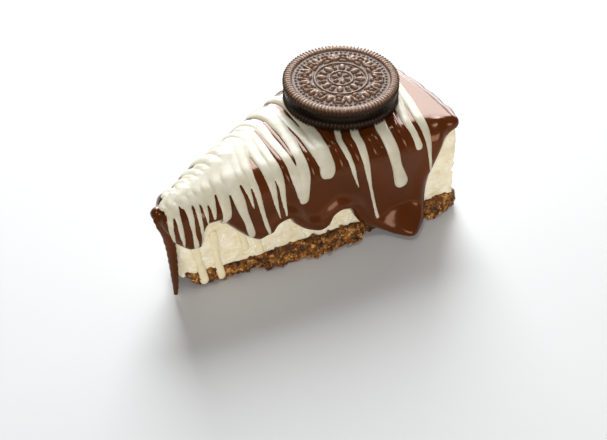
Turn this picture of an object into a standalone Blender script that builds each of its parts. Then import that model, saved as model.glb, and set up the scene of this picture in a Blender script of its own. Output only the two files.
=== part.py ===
"""A slice of cookies and cream cheesecake, cut from a round cake and glazed after it was cut.

A crumb crust carries the filling. Milk chocolate glaze lies over the top and runs down the sides,
with white drizzle across it and one long drip at the tip, and a sandwich biscuit sits on the glaze.
The slice lies along X with its tip at -X. Metres, +Z up, standing on Z = 0.
"""
import math

import bmesh
import bpy
import numpy as np
from mathutils import Vector, noise

MM = 0.001

# The cut of the cake: plan sizes are measured from the whole cake's centre
CAKE_RADIUS = 140.2 * MM
HALF_ANGLE = math.radians(15.0)
TIP_AT_TOP = 17.2 * MM
TIP_AT_BASE = 26.8 * MM
LEAN_ENDS_AT = 52.0 * MM
TIP_SOFTNESS = 3.1 * MM
CORNER_SOFTNESS = 1.0 * MM
FAR_CORNER_SOFTNESS = 3.2 * MM
FILLING_TOP = 42.2 * MM
CRUST_HEIGHT = 9.0 * MM
NEAR_SHOULDER = 6.9 * MM
FAR_SHOULDER = 9.5 * MM
OUTER_SHOULDER = 2.6 * MM
FAR_CORNER_SHOULDER = 4.2 * MM
SHOULDER_SHARE_AT_TIP = 0.66
SHOULDER_STEPS = (0, 1 / 3, 2 / 3, 1)
TIP_DROOP = 3.8 * MM
DROOP_ENDS_AT = 64.0 * MM
GAP = 0.35 * MM

# Glaze and drizzle
GLAZE_THICKNESS = 2.0 * MM
GLAZE_EDGE = 2.0 * MM
GLAZE_LIP = 0.6 * MM
RIM_LUMPS = 1.1 * MM
WHITE_MASS = 0.7 * MM
WHITE_MASS_FROM, WHITE_MASS_TO = 20.0 * MM, 60.0 * MM
DRIZZLE_HEIGHT = 0.8 * MM
DRIZZLE_FOOT = GAP + 0.9 * MM

# Biscuit: two embossed wafers with cream between them
BISCUIT_AT = (109.4 * MM, 2.6 * MM)
BISCUIT_RADIUS = 22.4 * MM
WAFER_HEIGHT = 3.3 * MM
BISCUIT_CREAM_HEIGHT = 2.3 * MM
BISCUIT_CREAM_RADIUS = 18.4 * MM
RIDGE_COUNT = 48

# Height of the glaze's lower edge: on the sides against distance from the cake's centre, on the
# outer wall against the angle round the cake, in mm and degrees
NEAR_EDGE = ((17.5, 33), (20, 28), (22, 26), (24, 24), (27.4, 21.5), (31.4, 21.3), (33.2, 28), (35.3, 31.4),
             (39.4, 31.2), (43, 27), (47.3, 22), (52.3, 17.2), (54.6, 16), (57.6, 16.7), (60.6, 17.3),
             (63.4, 21), (66, 22.3), (69.5, 18.3), (72.5, 15.3), (75.7, 13.2), (80, 11.6), (84.1, 13.2),
             (86.4, 17.4), (88.8, 18.4), (91.2, 17.9), (93.9, 15.4), (95.6, 12), (97.4, 6.5), (100, 3.2),
             (104, 1.3), (108, 0.5), (125.0, 0.5), (126.2, 8), (127.0, 20), (129.4, 25.6), (132.2, 32),
             (134.8, 37.2), (138.2, 39.6), (141, 40.2))
FAR_EDGE = ((17.5, 33), (23, 31), (28, 25), (34, 20), (39, 28), (45, 33), (52, 29), (57, 18), (62, 14),
            (67, 23), (74, 31), (82, 32), (88, 25), (93, 11), (98, 9), (103, 20), (110, 31), (118, 28),
            (123, 22), (128, 30), (134, 35), (141, 36.5))
OUTER_EDGE = ((-15, 40.2), (-11.6, 38), (-8, 31), (-4.8, 36.5), (-1, 38), (3, 35), (6.2, 28.5), (9.4, 36),
              (12.4, 36.5), (15, 36.5))

# White strands that leave the white mass near the tip and run down a side: place where they leave,
# place and height of the end, width where they leave and at the end
NEAR_DRIPS = (
    (19.2, 21.4, 24.0, 3.2, 1.6),
    (24.8, 25.8, 34.5, 3.6, 1.4),
    (27.6, 28.6, 22.5, 3.2, 2.0),
    (31.2, 32.0, 23.7, 3.4, 1.6),
    (34.4, 35.0, 31.9, 3.0, 1.4),
    (37.2, 37.7, 32.2, 3.0, 1.4),
    (41.4, 41.4, 28.9, 4.6, 2.8),
    (46.5, 50.9, 19.9, 4.4, 2.6),
    (51.4, 53.6, 32.0, 3.6, 1.2),
    (54.6, 58.0, 19.7, 3.4, 2.2),
)
FAR_DRIPS = ((22.5, 23.5, 31.0, 3.6, 1.8), (30.5, 32.0, 24.5, 3.4, 2.2), (38.5, 39.0, 33.0, 4.0, 1.6),
             (47.5, 48.5, 31.0, 4.2, 2.4), (55.5, 57.0, 22.5, 3.4, 2.0))
# White strands right across: where they cross the far edge and the near edge, place and height of
# the near end, run down the far side, width across the top and at the near end
CROSSINGS = (
    (68.4, 62.6, 63.1, 24.7, 16.0, 4.4, 2.0),
    (72.0, 64.6, 65.4, 23.8, 9.0, 2.6, 1.6),
    (79.2, 73.2, 72.8, 28.0, 21.0, 5.0, 3.9),
    (89.7, 82.8, 81.5, 36.6, 12.0, 5.6, 6.2),
    (93.6, 93.6, 96.2, 28.8, 18.0, 2.8, 1.0),
    (100.4, 99.4, 104.8, 9.4, 11.0, 2.6, 1.5),
    (112.0, 111.8, 114.8, 22.0, 19.0, 4.4, 4.8),
    (126.4, 121.4, 122.8, 35.6, 10.0, 3.4, 3.2),
    (131.4, 126.4, 127.3, 24.0, 15.0, 3.6, 1.2),
)
# Melted cream that has run over the filling and the crust: place and height of both ends, width,
# and how its path bends
MELTS = ((27.4, 24.5, 32.6, 1.4, 3.4, 0.7), (36.2, 33.5, 39.6, 1.4, 3.2, 1.8),
         (47.6, 24.0, 49.8, 11.4, 3.0, 1.0), (54.2, 18.0, 55.8, 7.4, 3.2, 1.0))

# Long drip from the tip to the plate, top to bottom: middle, half width and half thickness in mm
TIP_DRIP = ((18.1, -4.9, 37.4, 1.7, 0.8), (18.5, -5.0, 34.0, 2.4, 0.95), (18.8, -4.9, 30.0, 2.8, 1.3),
            (19.2, -5.1, 26.0, 2.7, 1.5), (19.7, -5.25, 18.0, 2.4, 1.4), (19.75, -5.3, 9.5, 1.6, 1.2),
            (19.8, -5.5, 4.5, 1.15, 1.0), (19.4, -5.65, 0.5, 0.8, 0.8))
DRIP_TURN = math.radians(-41.0)
# Pool where the widest run of glaze reaches the plate
POOL_AT = 116.4 * MM
POOL_HALF_WIDTH = 6.8 * MM
POOL_REACH = 8.4 * MM
POOL_LEVELS = (3.5 * MM, 13.0 * MM)

# How far the crust's crumbs stand out of the near side, against distance from the cake's centre, mm
NEAR_CRUMBS = ((27, 0.5), (52, 0.7), (62, 2.4), (75, 3.5), (95, 3.8), (104, 2.4), (132, 2.9), (136, 2.2),
               (140, 1.2))

OUTLINE_SAMPLES = 1200
SIDE_COLUMNS, OUTER_COLUMNS = 52, 16
CRUST_SIDE_COLUMNS, CRUST_OUTER_COLUMNS = 64, 22
CRUMB_CLEARANCE = 0.0056


def clear_scene():
    for obj in list(bpy.data.objects):
        bpy.data.objects.remove(obj)


def material(name, rgb, roughness):
    found = bpy.data.materials.new(name)
    found.use_nodes = True
    shader = found.node_tree.nodes["Principled BSDF"]
    shader.inputs["Base Color"].default_value = (*rgb, 1.0)
    shader.inputs["Roughness"].default_value = roughness
    return found


def ramp(start, end, x):
    """Smooth step from 0 at start to 1 at end."""
    t = np.clip((x - start) / (end - start), 0, 1)
    return t * t * (3 - 2 * t)


def level_curve(x, table):
    """Smooth curve through a table of (place, value), level at each high and low."""
    places, values = np.array(table, float).T
    k = np.clip(np.searchsorted(places, x) - 1, 0, len(places) - 2)
    width = np.diff(places)
    slope = np.diff(values) / width
    before, after = slope[:-1], slope[1:]
    same_way = before * after > 0
    total = np.where(same_way, before + after, 1.0)
    tangent = np.concatenate([[0], np.where(same_way, 2 * before * after / total, 0), [0]])
    t = np.clip((x - places[k]) / width[k], 0, 1)
    rise = values[k] + (values[k + 1] - values[k]) * t * t * (3 - 2 * t)
    return rise + width[k] * t * (1 - t) * ((1 - t) * tangent[k] - t * tangent[k + 1])


def smooth_closed(points, reach):
    """Rounds a closed outline's corners with a bell-shaped average over its neighbours."""
    step = np.linalg.norm(np.roll(points, -1, axis=0) - points, axis=1).mean()
    half = int(3 * reach / step)
    weights = np.exp(-0.5 * (np.arange(-half, half + 1) * step / reach) ** 2)
    weights /= weights.sum()
    padded = np.concatenate([points[-half:], points, points[:half]])
    return np.stack([np.convolve(padded[:, k], weights, "valid") for k in (0, 1)], axis=1)


def full_outline(tip_x):
    """The slice's plan, from the tip round by the near side, with a soft tip and crisper corners."""
    arc = np.linspace(-HALF_ANGLE, 0, 200)
    path = np.array([(tip_x, 0.0), (tip_x, -tip_x * math.tan(HALF_ANGLE)),
                     *zip(CAKE_RADIUS * np.cos(arc), CAKE_RADIUS * np.sin(arc))])
    lengths = np.concatenate([[0], np.cumsum(np.linalg.norm(np.diff(path, axis=0), axis=1))])
    at = np.linspace(0, lengths[-1], OUTLINE_SAMPLES // 2 + 1)
    half = np.stack([np.interp(at, lengths, path[:, k]) for k in (0, 1)], axis=1)
    whole = np.concatenate([half, half[1:-1][::-1] * (1, -1)])
    at_tip = 1 - ramp(60 * MM, 90 * MM, whole[:, :1])
    at_far = ramp(0, 20 * MM, whole[:, 1:]) * (1 - at_tip)
    return (smooth_closed(whole, TIP_SOFTNESS) * at_tip + smooth_closed(whole, FAR_CORNER_SOFTNESS) * at_far
            + smooth_closed(whole, CORNER_SOFTNESS) * (1 - at_tip - at_far))


def outward(outline):
    ahead = np.roll(outline, -1, axis=0) - np.roll(outline, 1, axis=0)
    ahead /= np.linalg.norm(ahead, axis=1)[:, None]
    return np.stack([ahead[:, 1], -ahead[:, 0]], axis=1)


def lean(x):
    """How far the wall's foot stands in from its top near the tip, against X at its top."""
    return (TIP_AT_BASE - TIP_AT_TOP) * (1 - ramp(TIP_AT_TOP, LEAN_ENDS_AT, x))


TOP_OUTLINE = full_outline(TIP_AT_TOP)
BASE_OUTLINE = TOP_OUTLINE * (1 + lean(TOP_OUTLINE[:, :1]) / TOP_OUTLINE[:, :1])
OUTLINE_NORMALS = outward(TOP_OUTLINE)


def along_outline(table, u):
    """Reads a table kept at the outline's samples at places u, from 0 at the tip round to 1."""
    at = np.asarray(u, float) % 1.0 * OUTLINE_SAMPLES
    low = np.floor(at).astype(int) % OUTLINE_SAMPLES
    share = (at - np.floor(at))[..., None]
    return table[low] * (1 - share) + table[(low + 1) % OUTLINE_SAMPLES] * share


def at_wall_top(distance, height):
    """The distance at a cut wall's top that lies above a place on the wall, all in mm."""
    x = np.asarray(distance, float) * MM * math.cos(HALF_ANGLE)
    below = 1 - np.clip(np.asarray(height, float) * MM / FILLING_TOP, 0, 1)
    above = x
    for _ in range(12):
        above = x - lean(above) * below
    return above / MM / math.cos(HALF_ANGLE)


def side_place(distance, near=True, height=FILLING_TOP / MM):
    """The place u on a cut side at a distance in mm from the cake's centre, measured at a height."""
    x = at_wall_top(distance, height) * MM * math.cos(HALF_ANGLE)
    half = TOP_OUTLINE[: OUTLINE_SAMPLES // 2, 0]
    u = np.interp(x, half, np.arange(len(half))) / OUTLINE_SAMPLES
    return u if near else 1.0 - u


def wall_table(table):
    """A table of (distance, height) with its distances moved up the wall to its top."""
    return [(float(at_wall_top(distance, height)), height) for distance, height in table]


def centre_distance(u):
    plan = along_outline(TOP_OUTLINE, u)
    return np.hypot(plan[..., 0], plan[..., 1])


def distance_at(u, z):
    """Distance from the cake's centre, in mm, of the wall at a height."""
    plan = along_outline(TOP_OUTLINE, u)
    return centre_distance(u) / MM + lean(plan[..., 0]) * (1 - z / FILLING_TOP) / math.cos(HALF_ANGLE) / MM


def cake_angle(u):
    plan = along_outline(TOP_OUTLINE, u)
    return np.arctan2(plan[..., 1], plan[..., 0])


def on_near(u):
    return np.where(np.asarray(u, float) % 1.0 < 0.5, 1.0, 0.0)


def on_rim(u):
    return ramp(CAKE_RADIUS - 9 * MM, CAKE_RADIUS - 2.5 * MM, centre_distance(u))


def top_height(u):
    x = along_outline(TOP_OUTLINE, u)[..., 0]
    return FILLING_TOP - TIP_DROOP * (1 - ramp(12 * MM, DROOP_ENDS_AT, x))


def shoulder_radius(u):
    past_tip = np.clip((centre_distance(u) - TIP_AT_TOP) / (14 * MM), 0, 1)
    side = NEAR_SHOULDER + (FAR_SHOULDER - NEAR_SHOULDER) * (1 - on_near(u)) * past_tip
    half_width = along_outline(TOP_OUTLINE, u)[..., 0] * math.tan(HALF_ANGLE)
    limit = SHOULDER_SHARE_AT_TIP * half_width
    side = side - np.log1p(np.exp((side - limit) / MM)) * MM
    far_corner = ramp(0.4 * HALF_ANGLE, HALF_ANGLE, cake_angle(u))
    rim = OUTER_SHOULDER + (FAR_CORNER_SHOULDER - OUTER_SHOULDER) * far_corner
    return side + (rim - side) * on_rim(u)


def skin(u, run, out):
    """Points on the filling's top, shoulder and wall, set off outward by out.

    The run is counted down from where the shoulder starts.
    """
    u, run, out = np.broadcast_arrays(np.asarray(u, float), run, out)
    radius, top = shoulder_radius(u), top_height(u)
    phi = np.clip(run / radius, 0, math.pi / 2)
    z = top - radius * (1 - np.cos(phi)) - np.maximum(run - radius * math.pi / 2, 0)
    share = np.clip(z / top, 0, 1)[..., None]
    plan = along_outline(BASE_OUTLINE, u) * (1 - share) + along_outline(TOP_OUTLINE, u) * share
    reach = out * np.sin(phi) - radius * (1 - np.sin(phi))
    plan = plan + along_outline(OUTLINE_NORMALS, u) * reach[..., None]
    return np.concatenate([plan, (z + out * np.cos(phi))[..., None]], axis=-1)


def skin_normals(u, run):
    return (skin(u, run, MM) - skin(u, run, 0.0)) / MM


def run_to(u, z):
    """The run down the skin that reaches a height."""
    radius, drop = shoulder_radius(u), top_height(u) - z
    on_shoulder = radius * np.arccos(np.clip(1 - drop / radius, 0, 1))
    return on_shoulder + np.maximum(drop - radius, 0)


def edge_run(u):
    """How far the glaze runs down at each place round the slice."""
    distance = centre_distance(u) / MM
    near, far = level_curve(distance, wall_table(NEAR_EDGE)), level_curve(distance, wall_table(FAR_EDGE))
    side = np.where(on_near(u) > 0.5, near, far)
    height = side + (level_curve(np.degrees(cake_angle(u)), OUTER_EDGE) - side) * ramp(139.2, 139.9, distance)
    return run_to(u, height * MM)


def white_mass(u, run):
    """Thickness that the merged white strands near the tip add to the glaze."""
    x = along_outline(TOP_OUTLINE, u)[..., 0]
    starts = ramp(WHITE_MASS_FROM, WHITE_MASS_FROM + 3 * MM, x)
    along = starts - ramp(WHITE_MASS_TO - 4 * MM, WHITE_MASS_TO, x)
    return WHITE_MASS * along * (1 - ramp(8 * MM, 13 * MM, run))


def glaze_out(u, run, length, edge):
    """Thickness of the glaze: a round edge with a lip, slow waves, lumps at the rim and the pool."""
    from_edge = (length - run) / edge
    round_off = np.sqrt(1 - (1 - np.clip(from_edge, 0, 1)) ** 2)
    lip = GLAZE_LIP * (1 - on_rim(u)) * np.exp(-((from_edge - 1.4) / 1.1) ** 2)
    plan = along_outline(TOP_OUTLINE, u)
    wave = 0.2 * MM * ramp(0, 8 * MM, run) * np.sin(plan[..., 0] / (6.1 * MM) + run / (9 * MM))
    turn = cake_angle(u)
    inside = ramp(HALF_ANGLE, 0.8 * HALF_ANGLE, np.abs(turn))
    lumps = RIM_LUMPS * on_rim(u) * inside * (0.55 + 0.45 * np.sin(83 * turn))
    lumps = lumps * ramp(0, 1.2 * MM, run) * np.exp(-run / (4 * MM))
    thin = 1.6 * MM * on_rim(u) * (1 - inside)
    height = top_height(u) - run + shoulder_radius(u) * (math.pi / 2 - 1)
    beside = np.exp(-((centre_distance(u) - POOL_AT) / POOL_HALF_WIDTH) ** 2) * on_near(u)
    pool = POOL_REACH * beside * (1 - ramp(*POOL_LEVELS, height))
    relief = lip + wave + lumps + white_mass(u, run) + pool - thin * ramp(0, MM, run)
    return (GLAZE_THICKNESS + relief) * round_off


def ring_columns(side, outer):
    """Places round the slice, the same on both cut sides so that they pair up across it."""
    corner = side_place((CAKE_RADIUS - MM) / MM)
    near = np.linspace(0, corner, side, endpoint=False)
    arc = np.linspace(corner, 1 - corner, outer + 1)
    return np.concatenate([near, arc, 1 - near[1:][::-1]])


def cap_faces(first, count, side):
    """Faces that close a ring by joining each near column to the far one across from it."""
    faces = [(first, first + 1, first + count - 1)]
    faces += [(first + k, first + k + 1, first + count - k - 1, first + count - k) for k in range(1, side)]
    return faces + [tuple(range(first + side, first + count - side + 1))]


def ring_faces(rows, count):
    """Quads between each ring and the next of a stack of closed rings."""
    faces = []
    for row in range(rows - 1):
        for k in range(count):
            after, upper, lower = (k + 1) % count, row * count, (row + 1) * count
            faces.append((upper + k, upper + after, lower + after, lower + k))
    return faces


def end_faces(rows, count):
    """One face over each end of a stack of closed rings."""
    last = (rows - 1) * count
    return [tuple(range(count)), tuple(range(last, last + count))]


def object_from(name, points, faces, finish):
    mesh = bpy.data.meshes.new(name)
    corners = [tuple(int(k) for k in face) for face in faces]
    mesh.from_pydata([tuple(point) for point in points], [], corners)
    mesh.materials.append(finish)
    built = bmesh.new()
    built.from_mesh(mesh)
    bmesh.ops.triangulate(built, faces=built.faces)
    bmesh.ops.recalc_face_normals(built, faces=built.faces)
    built.to_mesh(mesh)
    built.free()
    mesh.shade_smooth()
    mesh.set_sharp_from_angle(angle=math.radians(40))
    obj = bpy.data.objects.new(name, mesh)
    bpy.context.scene.collection.objects.link(obj)
    return obj


def stacked(name, rings, side, finish):
    count = len(rings[0])
    faces = ring_faces(len(rings), count) + cap_faces(0, count, side)
    faces += cap_faces((len(rings) - 1) * count, count, side)
    return object_from(name, np.concatenate(rings), faces, finish)


def fuse(target, meshes, finish):
    """Joins a list of (points, faces) to an object with one Boolean union."""
    parts = bpy.data.collections.new(target.name + "_parts")
    bpy.context.scene.collection.children.link(parts)
    for number, (points, faces) in enumerate(meshes):
        added = object_from(f"{target.name}_{number:02d}", points, faces, finish)
        bpy.context.scene.collection.objects.unlink(added)
        parts.objects.link(added)
    union = target.modifiers.new("fuse", "BOOLEAN")
    union.operation = "UNION"
    union.operand_type = "COLLECTION"
    union.collection = parts
    union.solver = "MANIFOLD"
    bpy.context.view_layer.objects.active = target
    bpy.ops.object.modifier_apply(modifier="fuse")
    for obj in list(parts.objects):
        bpy.data.objects.remove(obj)
    bpy.data.collections.remove(parts)


def build_filling(finish):
    u = ring_columns(SIDE_COLUMNS, OUTER_COLUMNS)
    shoulder = shoulder_radius(u) * math.pi / 2
    wall_end = run_to(u, CRUST_HEIGHT + GAP / 2)
    rings = [skin(u, shoulder * share, 0.0) for share in SHOULDER_STEPS]
    for share in (0.4, 0.7, 1.0):
        run = shoulder + (wall_end - shoulder) * share
        bare = ramp(0, 2 * MM, run - edge_run(u))
        drag = np.array([noise.noise(Vector(p) * 150) for p in skin(u, run, 0.0)])
        rings.append(skin(u, run, 0.45 * MM * (drag - 0.6) * bare))
    rings[-1][:, 2] = CRUST_HEIGHT + GAP / 2
    return stacked("filling", rings, SIDE_COLUMNS, finish)


def crust_relief(u, z):
    """How far the crumbs of the crust stand out of the cut face, less where something covers it."""
    distance = distance_at(u, z)
    spots = [Vector((p[0], p[1], z)) for p in along_outline(TOP_OUTLINE, u)]
    crumbs = np.array([noise.noise(spot * 330) for spot in spots])
    chunks = np.array([noise.noise(spot * 140) for spot in spots])
    near = level_curve(distance, NEAR_CRUMBS) * MM * on_near(u)
    relief = 0.5 * MM * (1 - on_near(u)) + near + 0.5 * MM * crumbs + 0.7 * MM * chunks
    beside = (-CRUMB_CLEARANCE, 0, CRUMB_CLEARANCE)
    nearby = [skin(u + step, edge_run(u + step), 0.0)[:, 2] for step in beside]
    bare = ramp(CRUST_HEIGHT - 2 * MM, CRUST_HEIGHT + 4 * MM, np.min(nearby, axis=0))
    for start, start_height, end, end_height, width, bend in MELTS:
        share = np.clip((start_height - z / MM) / (start_height - end_height), 0, 1)
        middle = start + (end - start) * share ** bend
        clear = ramp(0.6 * width, 1.3 * width, np.abs(distance - middle))
        clear = np.maximum(clear, ramp(end_height - 4, end_height - 6, z / MM))
        bare = np.minimum(bare, np.maximum(clear, 1 - on_near(u)))
    return relief * bare - 0.35 * MM * (1 - bare)


def build_crust(finish):
    u = ring_columns(CRUST_SIDE_COLUMNS, CRUST_OUTER_COLUMNS)
    top = CRUST_HEIGHT - GAP / 2
    rings = [skin(u, run_to(u, top), -1.2 * MM)]
    for z, tuck in ((top - 0.3 * MM, -0.3), (top - 3.0 * MM, 0.1), (top - 5.8 * MM, 0.1), (0.8 * MM, -0.4)):
        rings.append(skin(u, run_to(u, z), crust_relief(u, z) + tuck * MM))
    rings.append(skin(u, run_to(u, 0.0), -0.9 * MM))
    rings[0][:, 2] = top
    rings[-1][:, 2] = 0.0
    return stacked("crust", rings, CRUST_SIDE_COLUMNS, finish)


def glaze_shell():
    """Rings of the glaze: outer face down to its edge, then back up just clear of the filling."""
    u = ring_columns(SIDE_COLUMNS, OUTER_COLUMNS)
    length = edge_run(u)
    edge = np.minimum(GLAZE_EDGE, 0.3 * length)
    lower = length - 1.6 * edge
    shoulder = np.minimum(shoulder_radius(u) * math.pi / 2, lower * 0.8)
    down = [shoulder * share for share in SHOULDER_STEPS]
    runs = down + [0.5 * (shoulder + lower), lower, length - 0.8 * edge, length - 0.28 * edge, length]
    rings = [skin(u, run, GAP + glaze_out(u, run, length, edge)) for run in runs]
    rings += [skin(u, run, GAP) for run in [lower] + down[::-1]]
    for ring in rings:
        ring[:, 2] = np.maximum(ring[:, 2], 0.3 * MM)
    return rings


def strand(base, normals, halves, tops, foot):
    """A strand lying on a surface: a low rounded section with a flat foot, swept and capped."""
    ahead = np.gradient(base, axis=0)
    sides = np.cross(ahead / np.linalg.norm(ahead, axis=1)[:, None], normals)
    sides /= np.linalg.norm(sides, axis=1)[:, None]
    points = []
    for centre, normal, side, half, top in zip(base, normals, sides, halves, tops):
        brow = foot + 0.7 * (top - foot)
        section = ((-1.0, foot), (-0.8, brow), (0.0, top), (0.8, brow), (1.0, foot))
        points += [centre + side * half * a + normal * b for a, b in section]
    return np.array(points), ring_faces(len(base), 5) + end_faces(len(base), 5)


def drizzle(base, normals, wide, tip_wide, round_start):
    """A strand of drizzle with a round end that tapers to its width at the tip."""
    travelled = np.concatenate([[0], np.cumsum(np.linalg.norm(np.diff(base, axis=0), axis=1))])
    half = (wide + (tip_wide - wide) * np.clip(travelled / travelled[-1] * 1.7 - 0.7, 0, 1)) * MM / 2
    from_end = travelled[-1] - travelled
    if round_start:
        from_end = np.minimum(from_end, travelled)
    ending = np.sqrt(1 - (1 - np.clip((from_end + 0.3 * half) / (1.3 * half), 0, 1)) ** 2)
    top = GAP + GLAZE_THICKNESS + (DRIZZLE_HEIGHT + 0.1 * half) * ending
    return strand(base, normals, half * ending, top, DRIZZLE_FOOT)


def side_drip(row, near):
    """A white strand that leaves the white mass and runs down one side."""
    start, end, end_height, wide, tip_wide = row
    share = np.array([0.0, 0.25, 0.55, 0.85, 1.0])
    start_u, end_u = side_place(start, near), side_place(end, near, end_height)
    places = start_u + (end_u - start_u) * share
    runs = 1.5 * MM + (run_to(end_u, end_height * MM) - 1.5 * MM) * share
    return drizzle(skin(places, runs, 0.0), skin_normals(places, runs), wide, tip_wide, False)


def strand_runs(u, length):
    """Runs down a strand: close together over the shoulder, then out to its end."""
    shoulder = shoulder_radius(u) * math.pi / 2
    if length < 1.3 * shoulder:
        return np.array([0.0, 0.45, 0.9, 1.0]) * length
    return np.array([0.0, 0.5 * shoulder, shoulder, shoulder + 0.85 * (length - shoulder), length])


def biscuit_span(a, b, clearance):
    """Where the way from a to b comes too near the biscuit, as shares of it."""
    d, f = (b - a)[:2], a[:2] - np.array(BISCUIT_AT)
    square, mixed = d @ d, f @ d
    inside = mixed ** 2 - square * (f @ f - clearance ** 2)
    if inside <= 0:
        return None
    return (-mixed - math.sqrt(inside)) / square, (-mixed + math.sqrt(inside)) / square


def crossing_strands(row):
    """A white strand right across the slice, in two where the biscuit is in its way."""
    far, near, end, end_height, far_run, wide, tip_wide = row
    up_u = side_place(far, False)
    up_run = strand_runs(up_u, far_run * MM)[::-1]
    near_u, end_u = side_place(near), side_place(end, True, end_height)
    down_run = strand_runs(end_u, run_to(end_u, end_height * MM))
    down_u = near_u + (end_u - near_u) * down_run / down_run[-1]
    up, down = skin(up_u, up_run, 0.0), skin(down_u, down_run, 0.0)
    up_normals, down_normals = skin_normals(up_u, up_run), skin_normals(down_u, down_run)
    a, b, flat = up[-1], down[0], np.array([(0.0, 0.0, 1.0)])
    cut = biscuit_span(a, b, BISCUIT_RADIUS + (1.0 + 0.5 * wide) * MM)
    if cut is None:
        base, normals = np.concatenate([up, down]), np.concatenate([up_normals, down_normals])
        return [drizzle(base, normals, wide, tip_wide, True)]
    pieces = []
    if cut[0] > 0.04:
        base = np.concatenate([up, [a + (b - a) * cut[0]]])
        pieces.append(drizzle(base, np.concatenate([up_normals, flat]), wide, wide, True))
    if cut[1] < 0.97:
        base = np.concatenate([[a + (b - a) * cut[1]], down])
        pieces.append(drizzle(base, np.concatenate([flat, down_normals]), wide, tip_wide, True))
    else:
        pieces.append(drizzle(down, down_normals, wide, tip_wide, True))
    return pieces


def melt(row):
    """Melted cream that starts under the glaze's edge and runs down over filling and crust."""
    start, start_height, end, end_height, width, bend = row
    share = np.linspace(0, 1, 6)
    height = start_height + (end_height - start_height) * share
    places = side_place(start + (end - start) * share ** bend, True, height)
    runs = run_to(places, height * MM)
    half = width * MM / 2 * np.array([1.0, 1.0, 0.9, 0.9, 1.0, 0.6])
    top = GAP + np.array([1.6, 1.5, 1.4, 1.4, 1.7, 1.0]) * MM
    return strand(skin(places, runs, 0.0), skin_normals(places, runs), half, top, GAP)


def tip_drip():
    """The long drip that hangs from the tip down to the plate, flattened like a ribbon."""
    sides, points = 8, []
    for x, y, z, half_wide, half_thick in TIP_DRIP:
        for k in range(sides):
            turn = 2 * math.pi * k / sides
            wide, thick = half_wide * math.cos(turn), half_thick * math.sin(turn)
            points.append((x + wide * math.cos(DRIP_TURN) - thick * math.sin(DRIP_TURN),
                           y + wide * math.sin(DRIP_TURN) + thick * math.cos(DRIP_TURN), z))
    return np.array(points) * MM, ring_faces(len(TIP_DRIP), sides) + end_faces(len(TIP_DRIP), sides)


def build_topping(finish):
    """Glaze, drizzle, melted runs and the tip's drip, fused into one solid."""
    topping = stacked("topping", glaze_shell(), SIDE_COLUMNS, finish)
    meshes = [side_drip(row, True) for row in NEAR_DRIPS] + [side_drip(row, False) for row in FAR_DRIPS]
    for row in CROSSINGS:
        meshes += crossing_strands(row)
    meshes += [melt(row) for row in MELTS]
    meshes.append(tip_drip())
    fuse(topping, meshes, finish)


def wafer(name, z_low, rings, finish):
    """A wafer from rings of (radius, height, how deep the ridges' valleys cut), in mm."""
    count = RIDGE_COUNT * 2
    turn = np.linspace(0, 2 * math.pi, count, endpoint=False)
    valley = np.arange(count) % 2
    stack = []
    for radius, height, cut in rings:
        reach = (radius - cut * valley) * MM
        level = z_low + height * MM + 0 * turn
        stack.append(np.stack([reach * np.cos(turn), reach * np.sin(turn), level], axis=1))
    points = np.concatenate(stack) + (*BISCUIT_AT, 0.0)
    return object_from(name, points, ring_faces(len(stack), count) + end_faces(len(stack), count), finish)


def stud(distance, turn, long_half, short_half, z, height, sides=6):
    """A raised bead or petal of the wafer's ornament, with sloping sides."""
    points = []
    for level, share in ((z - 0.5 * MM, 1.0), (z + height * MM, 0.6)):
        for k in range(sides):
            angle = 2 * math.pi * k / sides
            a = (distance + long_half * share * math.cos(angle)) * MM
            b = short_half * share * math.sin(angle) * MM
            points.append((BISCUIT_AT[0] + a * math.cos(turn) - b * math.sin(turn),
                           BISCUIT_AT[1] + a * math.sin(turn) + b * math.cos(turn), level))
    return np.array(points), ring_faces(2, sides) + end_faces(2, sides)


def build_biscuit(wafer_finish, cream_finish):
    rim, face = BISCUIT_RADIUS / MM, WAFER_HEIGHT / MM
    seat = FILLING_TOP + GAP + GLAZE_THICKNESS + GAP + 0.2 * MM
    wafer("biscuit_lower_wafer", seat, ((rim - 1.6, 0.0, 0.0), (rim, 1.0, 0.5), (rim - 0.2, 2.5, 0.5),
                                        (rim - 1.0, face, 0.0)), wafer_finish)
    cream_low = seat + WAFER_HEIGHT + GAP
    turn = np.linspace(0, 2 * math.pi, 48, endpoint=False)
    disc = [np.stack([BISCUIT_AT[0] + BISCUIT_CREAM_RADIUS * np.cos(turn),
                      BISCUIT_AT[1] + BISCUIT_CREAM_RADIUS * np.sin(turn), z + 0 * turn], axis=1)
            for z in (cream_low, cream_low + BISCUIT_CREAM_HEIGHT)]
    object_from("biscuit_cream", np.concatenate(disc), ring_faces(2, 48) + end_faces(2, 48), cream_finish)
    upper_low = cream_low + BISCUIT_CREAM_HEIGHT + GAP
    upper = wafer("biscuit_upper_wafer", upper_low, (
        (rim - 1.0, 0.0, 0.0), (rim, 0.9, 0.5), (rim - 0.1, 2.2, 0.5), (rim - 1.1, face, 0.7),
        (rim - 3.4, face, 0.0), (rim - 4.0, face - 0.6, 0.0)), wafer_finish)
    field = upper_low + WAFER_HEIGHT - 0.6 * MM
    studs = [stud(15.4, math.pi * k / 10, 0.95, 0.95, field, 0.5) for k in range(20)]
    studs += [stud(8.6, math.pi * k / 4, 3.6, 1.7, field, 0.55) for k in range(8)]
    studs.append(stud(0.0, 0.0, 2.6, 2.6, field, 0.55, 10))
    fuse(upper, studs, wafer_finish)


def centre_on_origin():
    """Moves the slice so that the middle of its box stands over the origin."""
    bpy.context.view_layer.update()
    solids = [obj for obj in bpy.context.scene.objects if obj.type == "MESH"]
    corners = np.array([obj.matrix_world @ Vector(corner) for obj in solids for corner in obj.bound_box])
    middle = (corners.min(axis=0) + corners.max(axis=0)) / 2
    for obj in solids:
        obj.location.x -= middle[0]
        obj.location.y -= middle[1]


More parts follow.
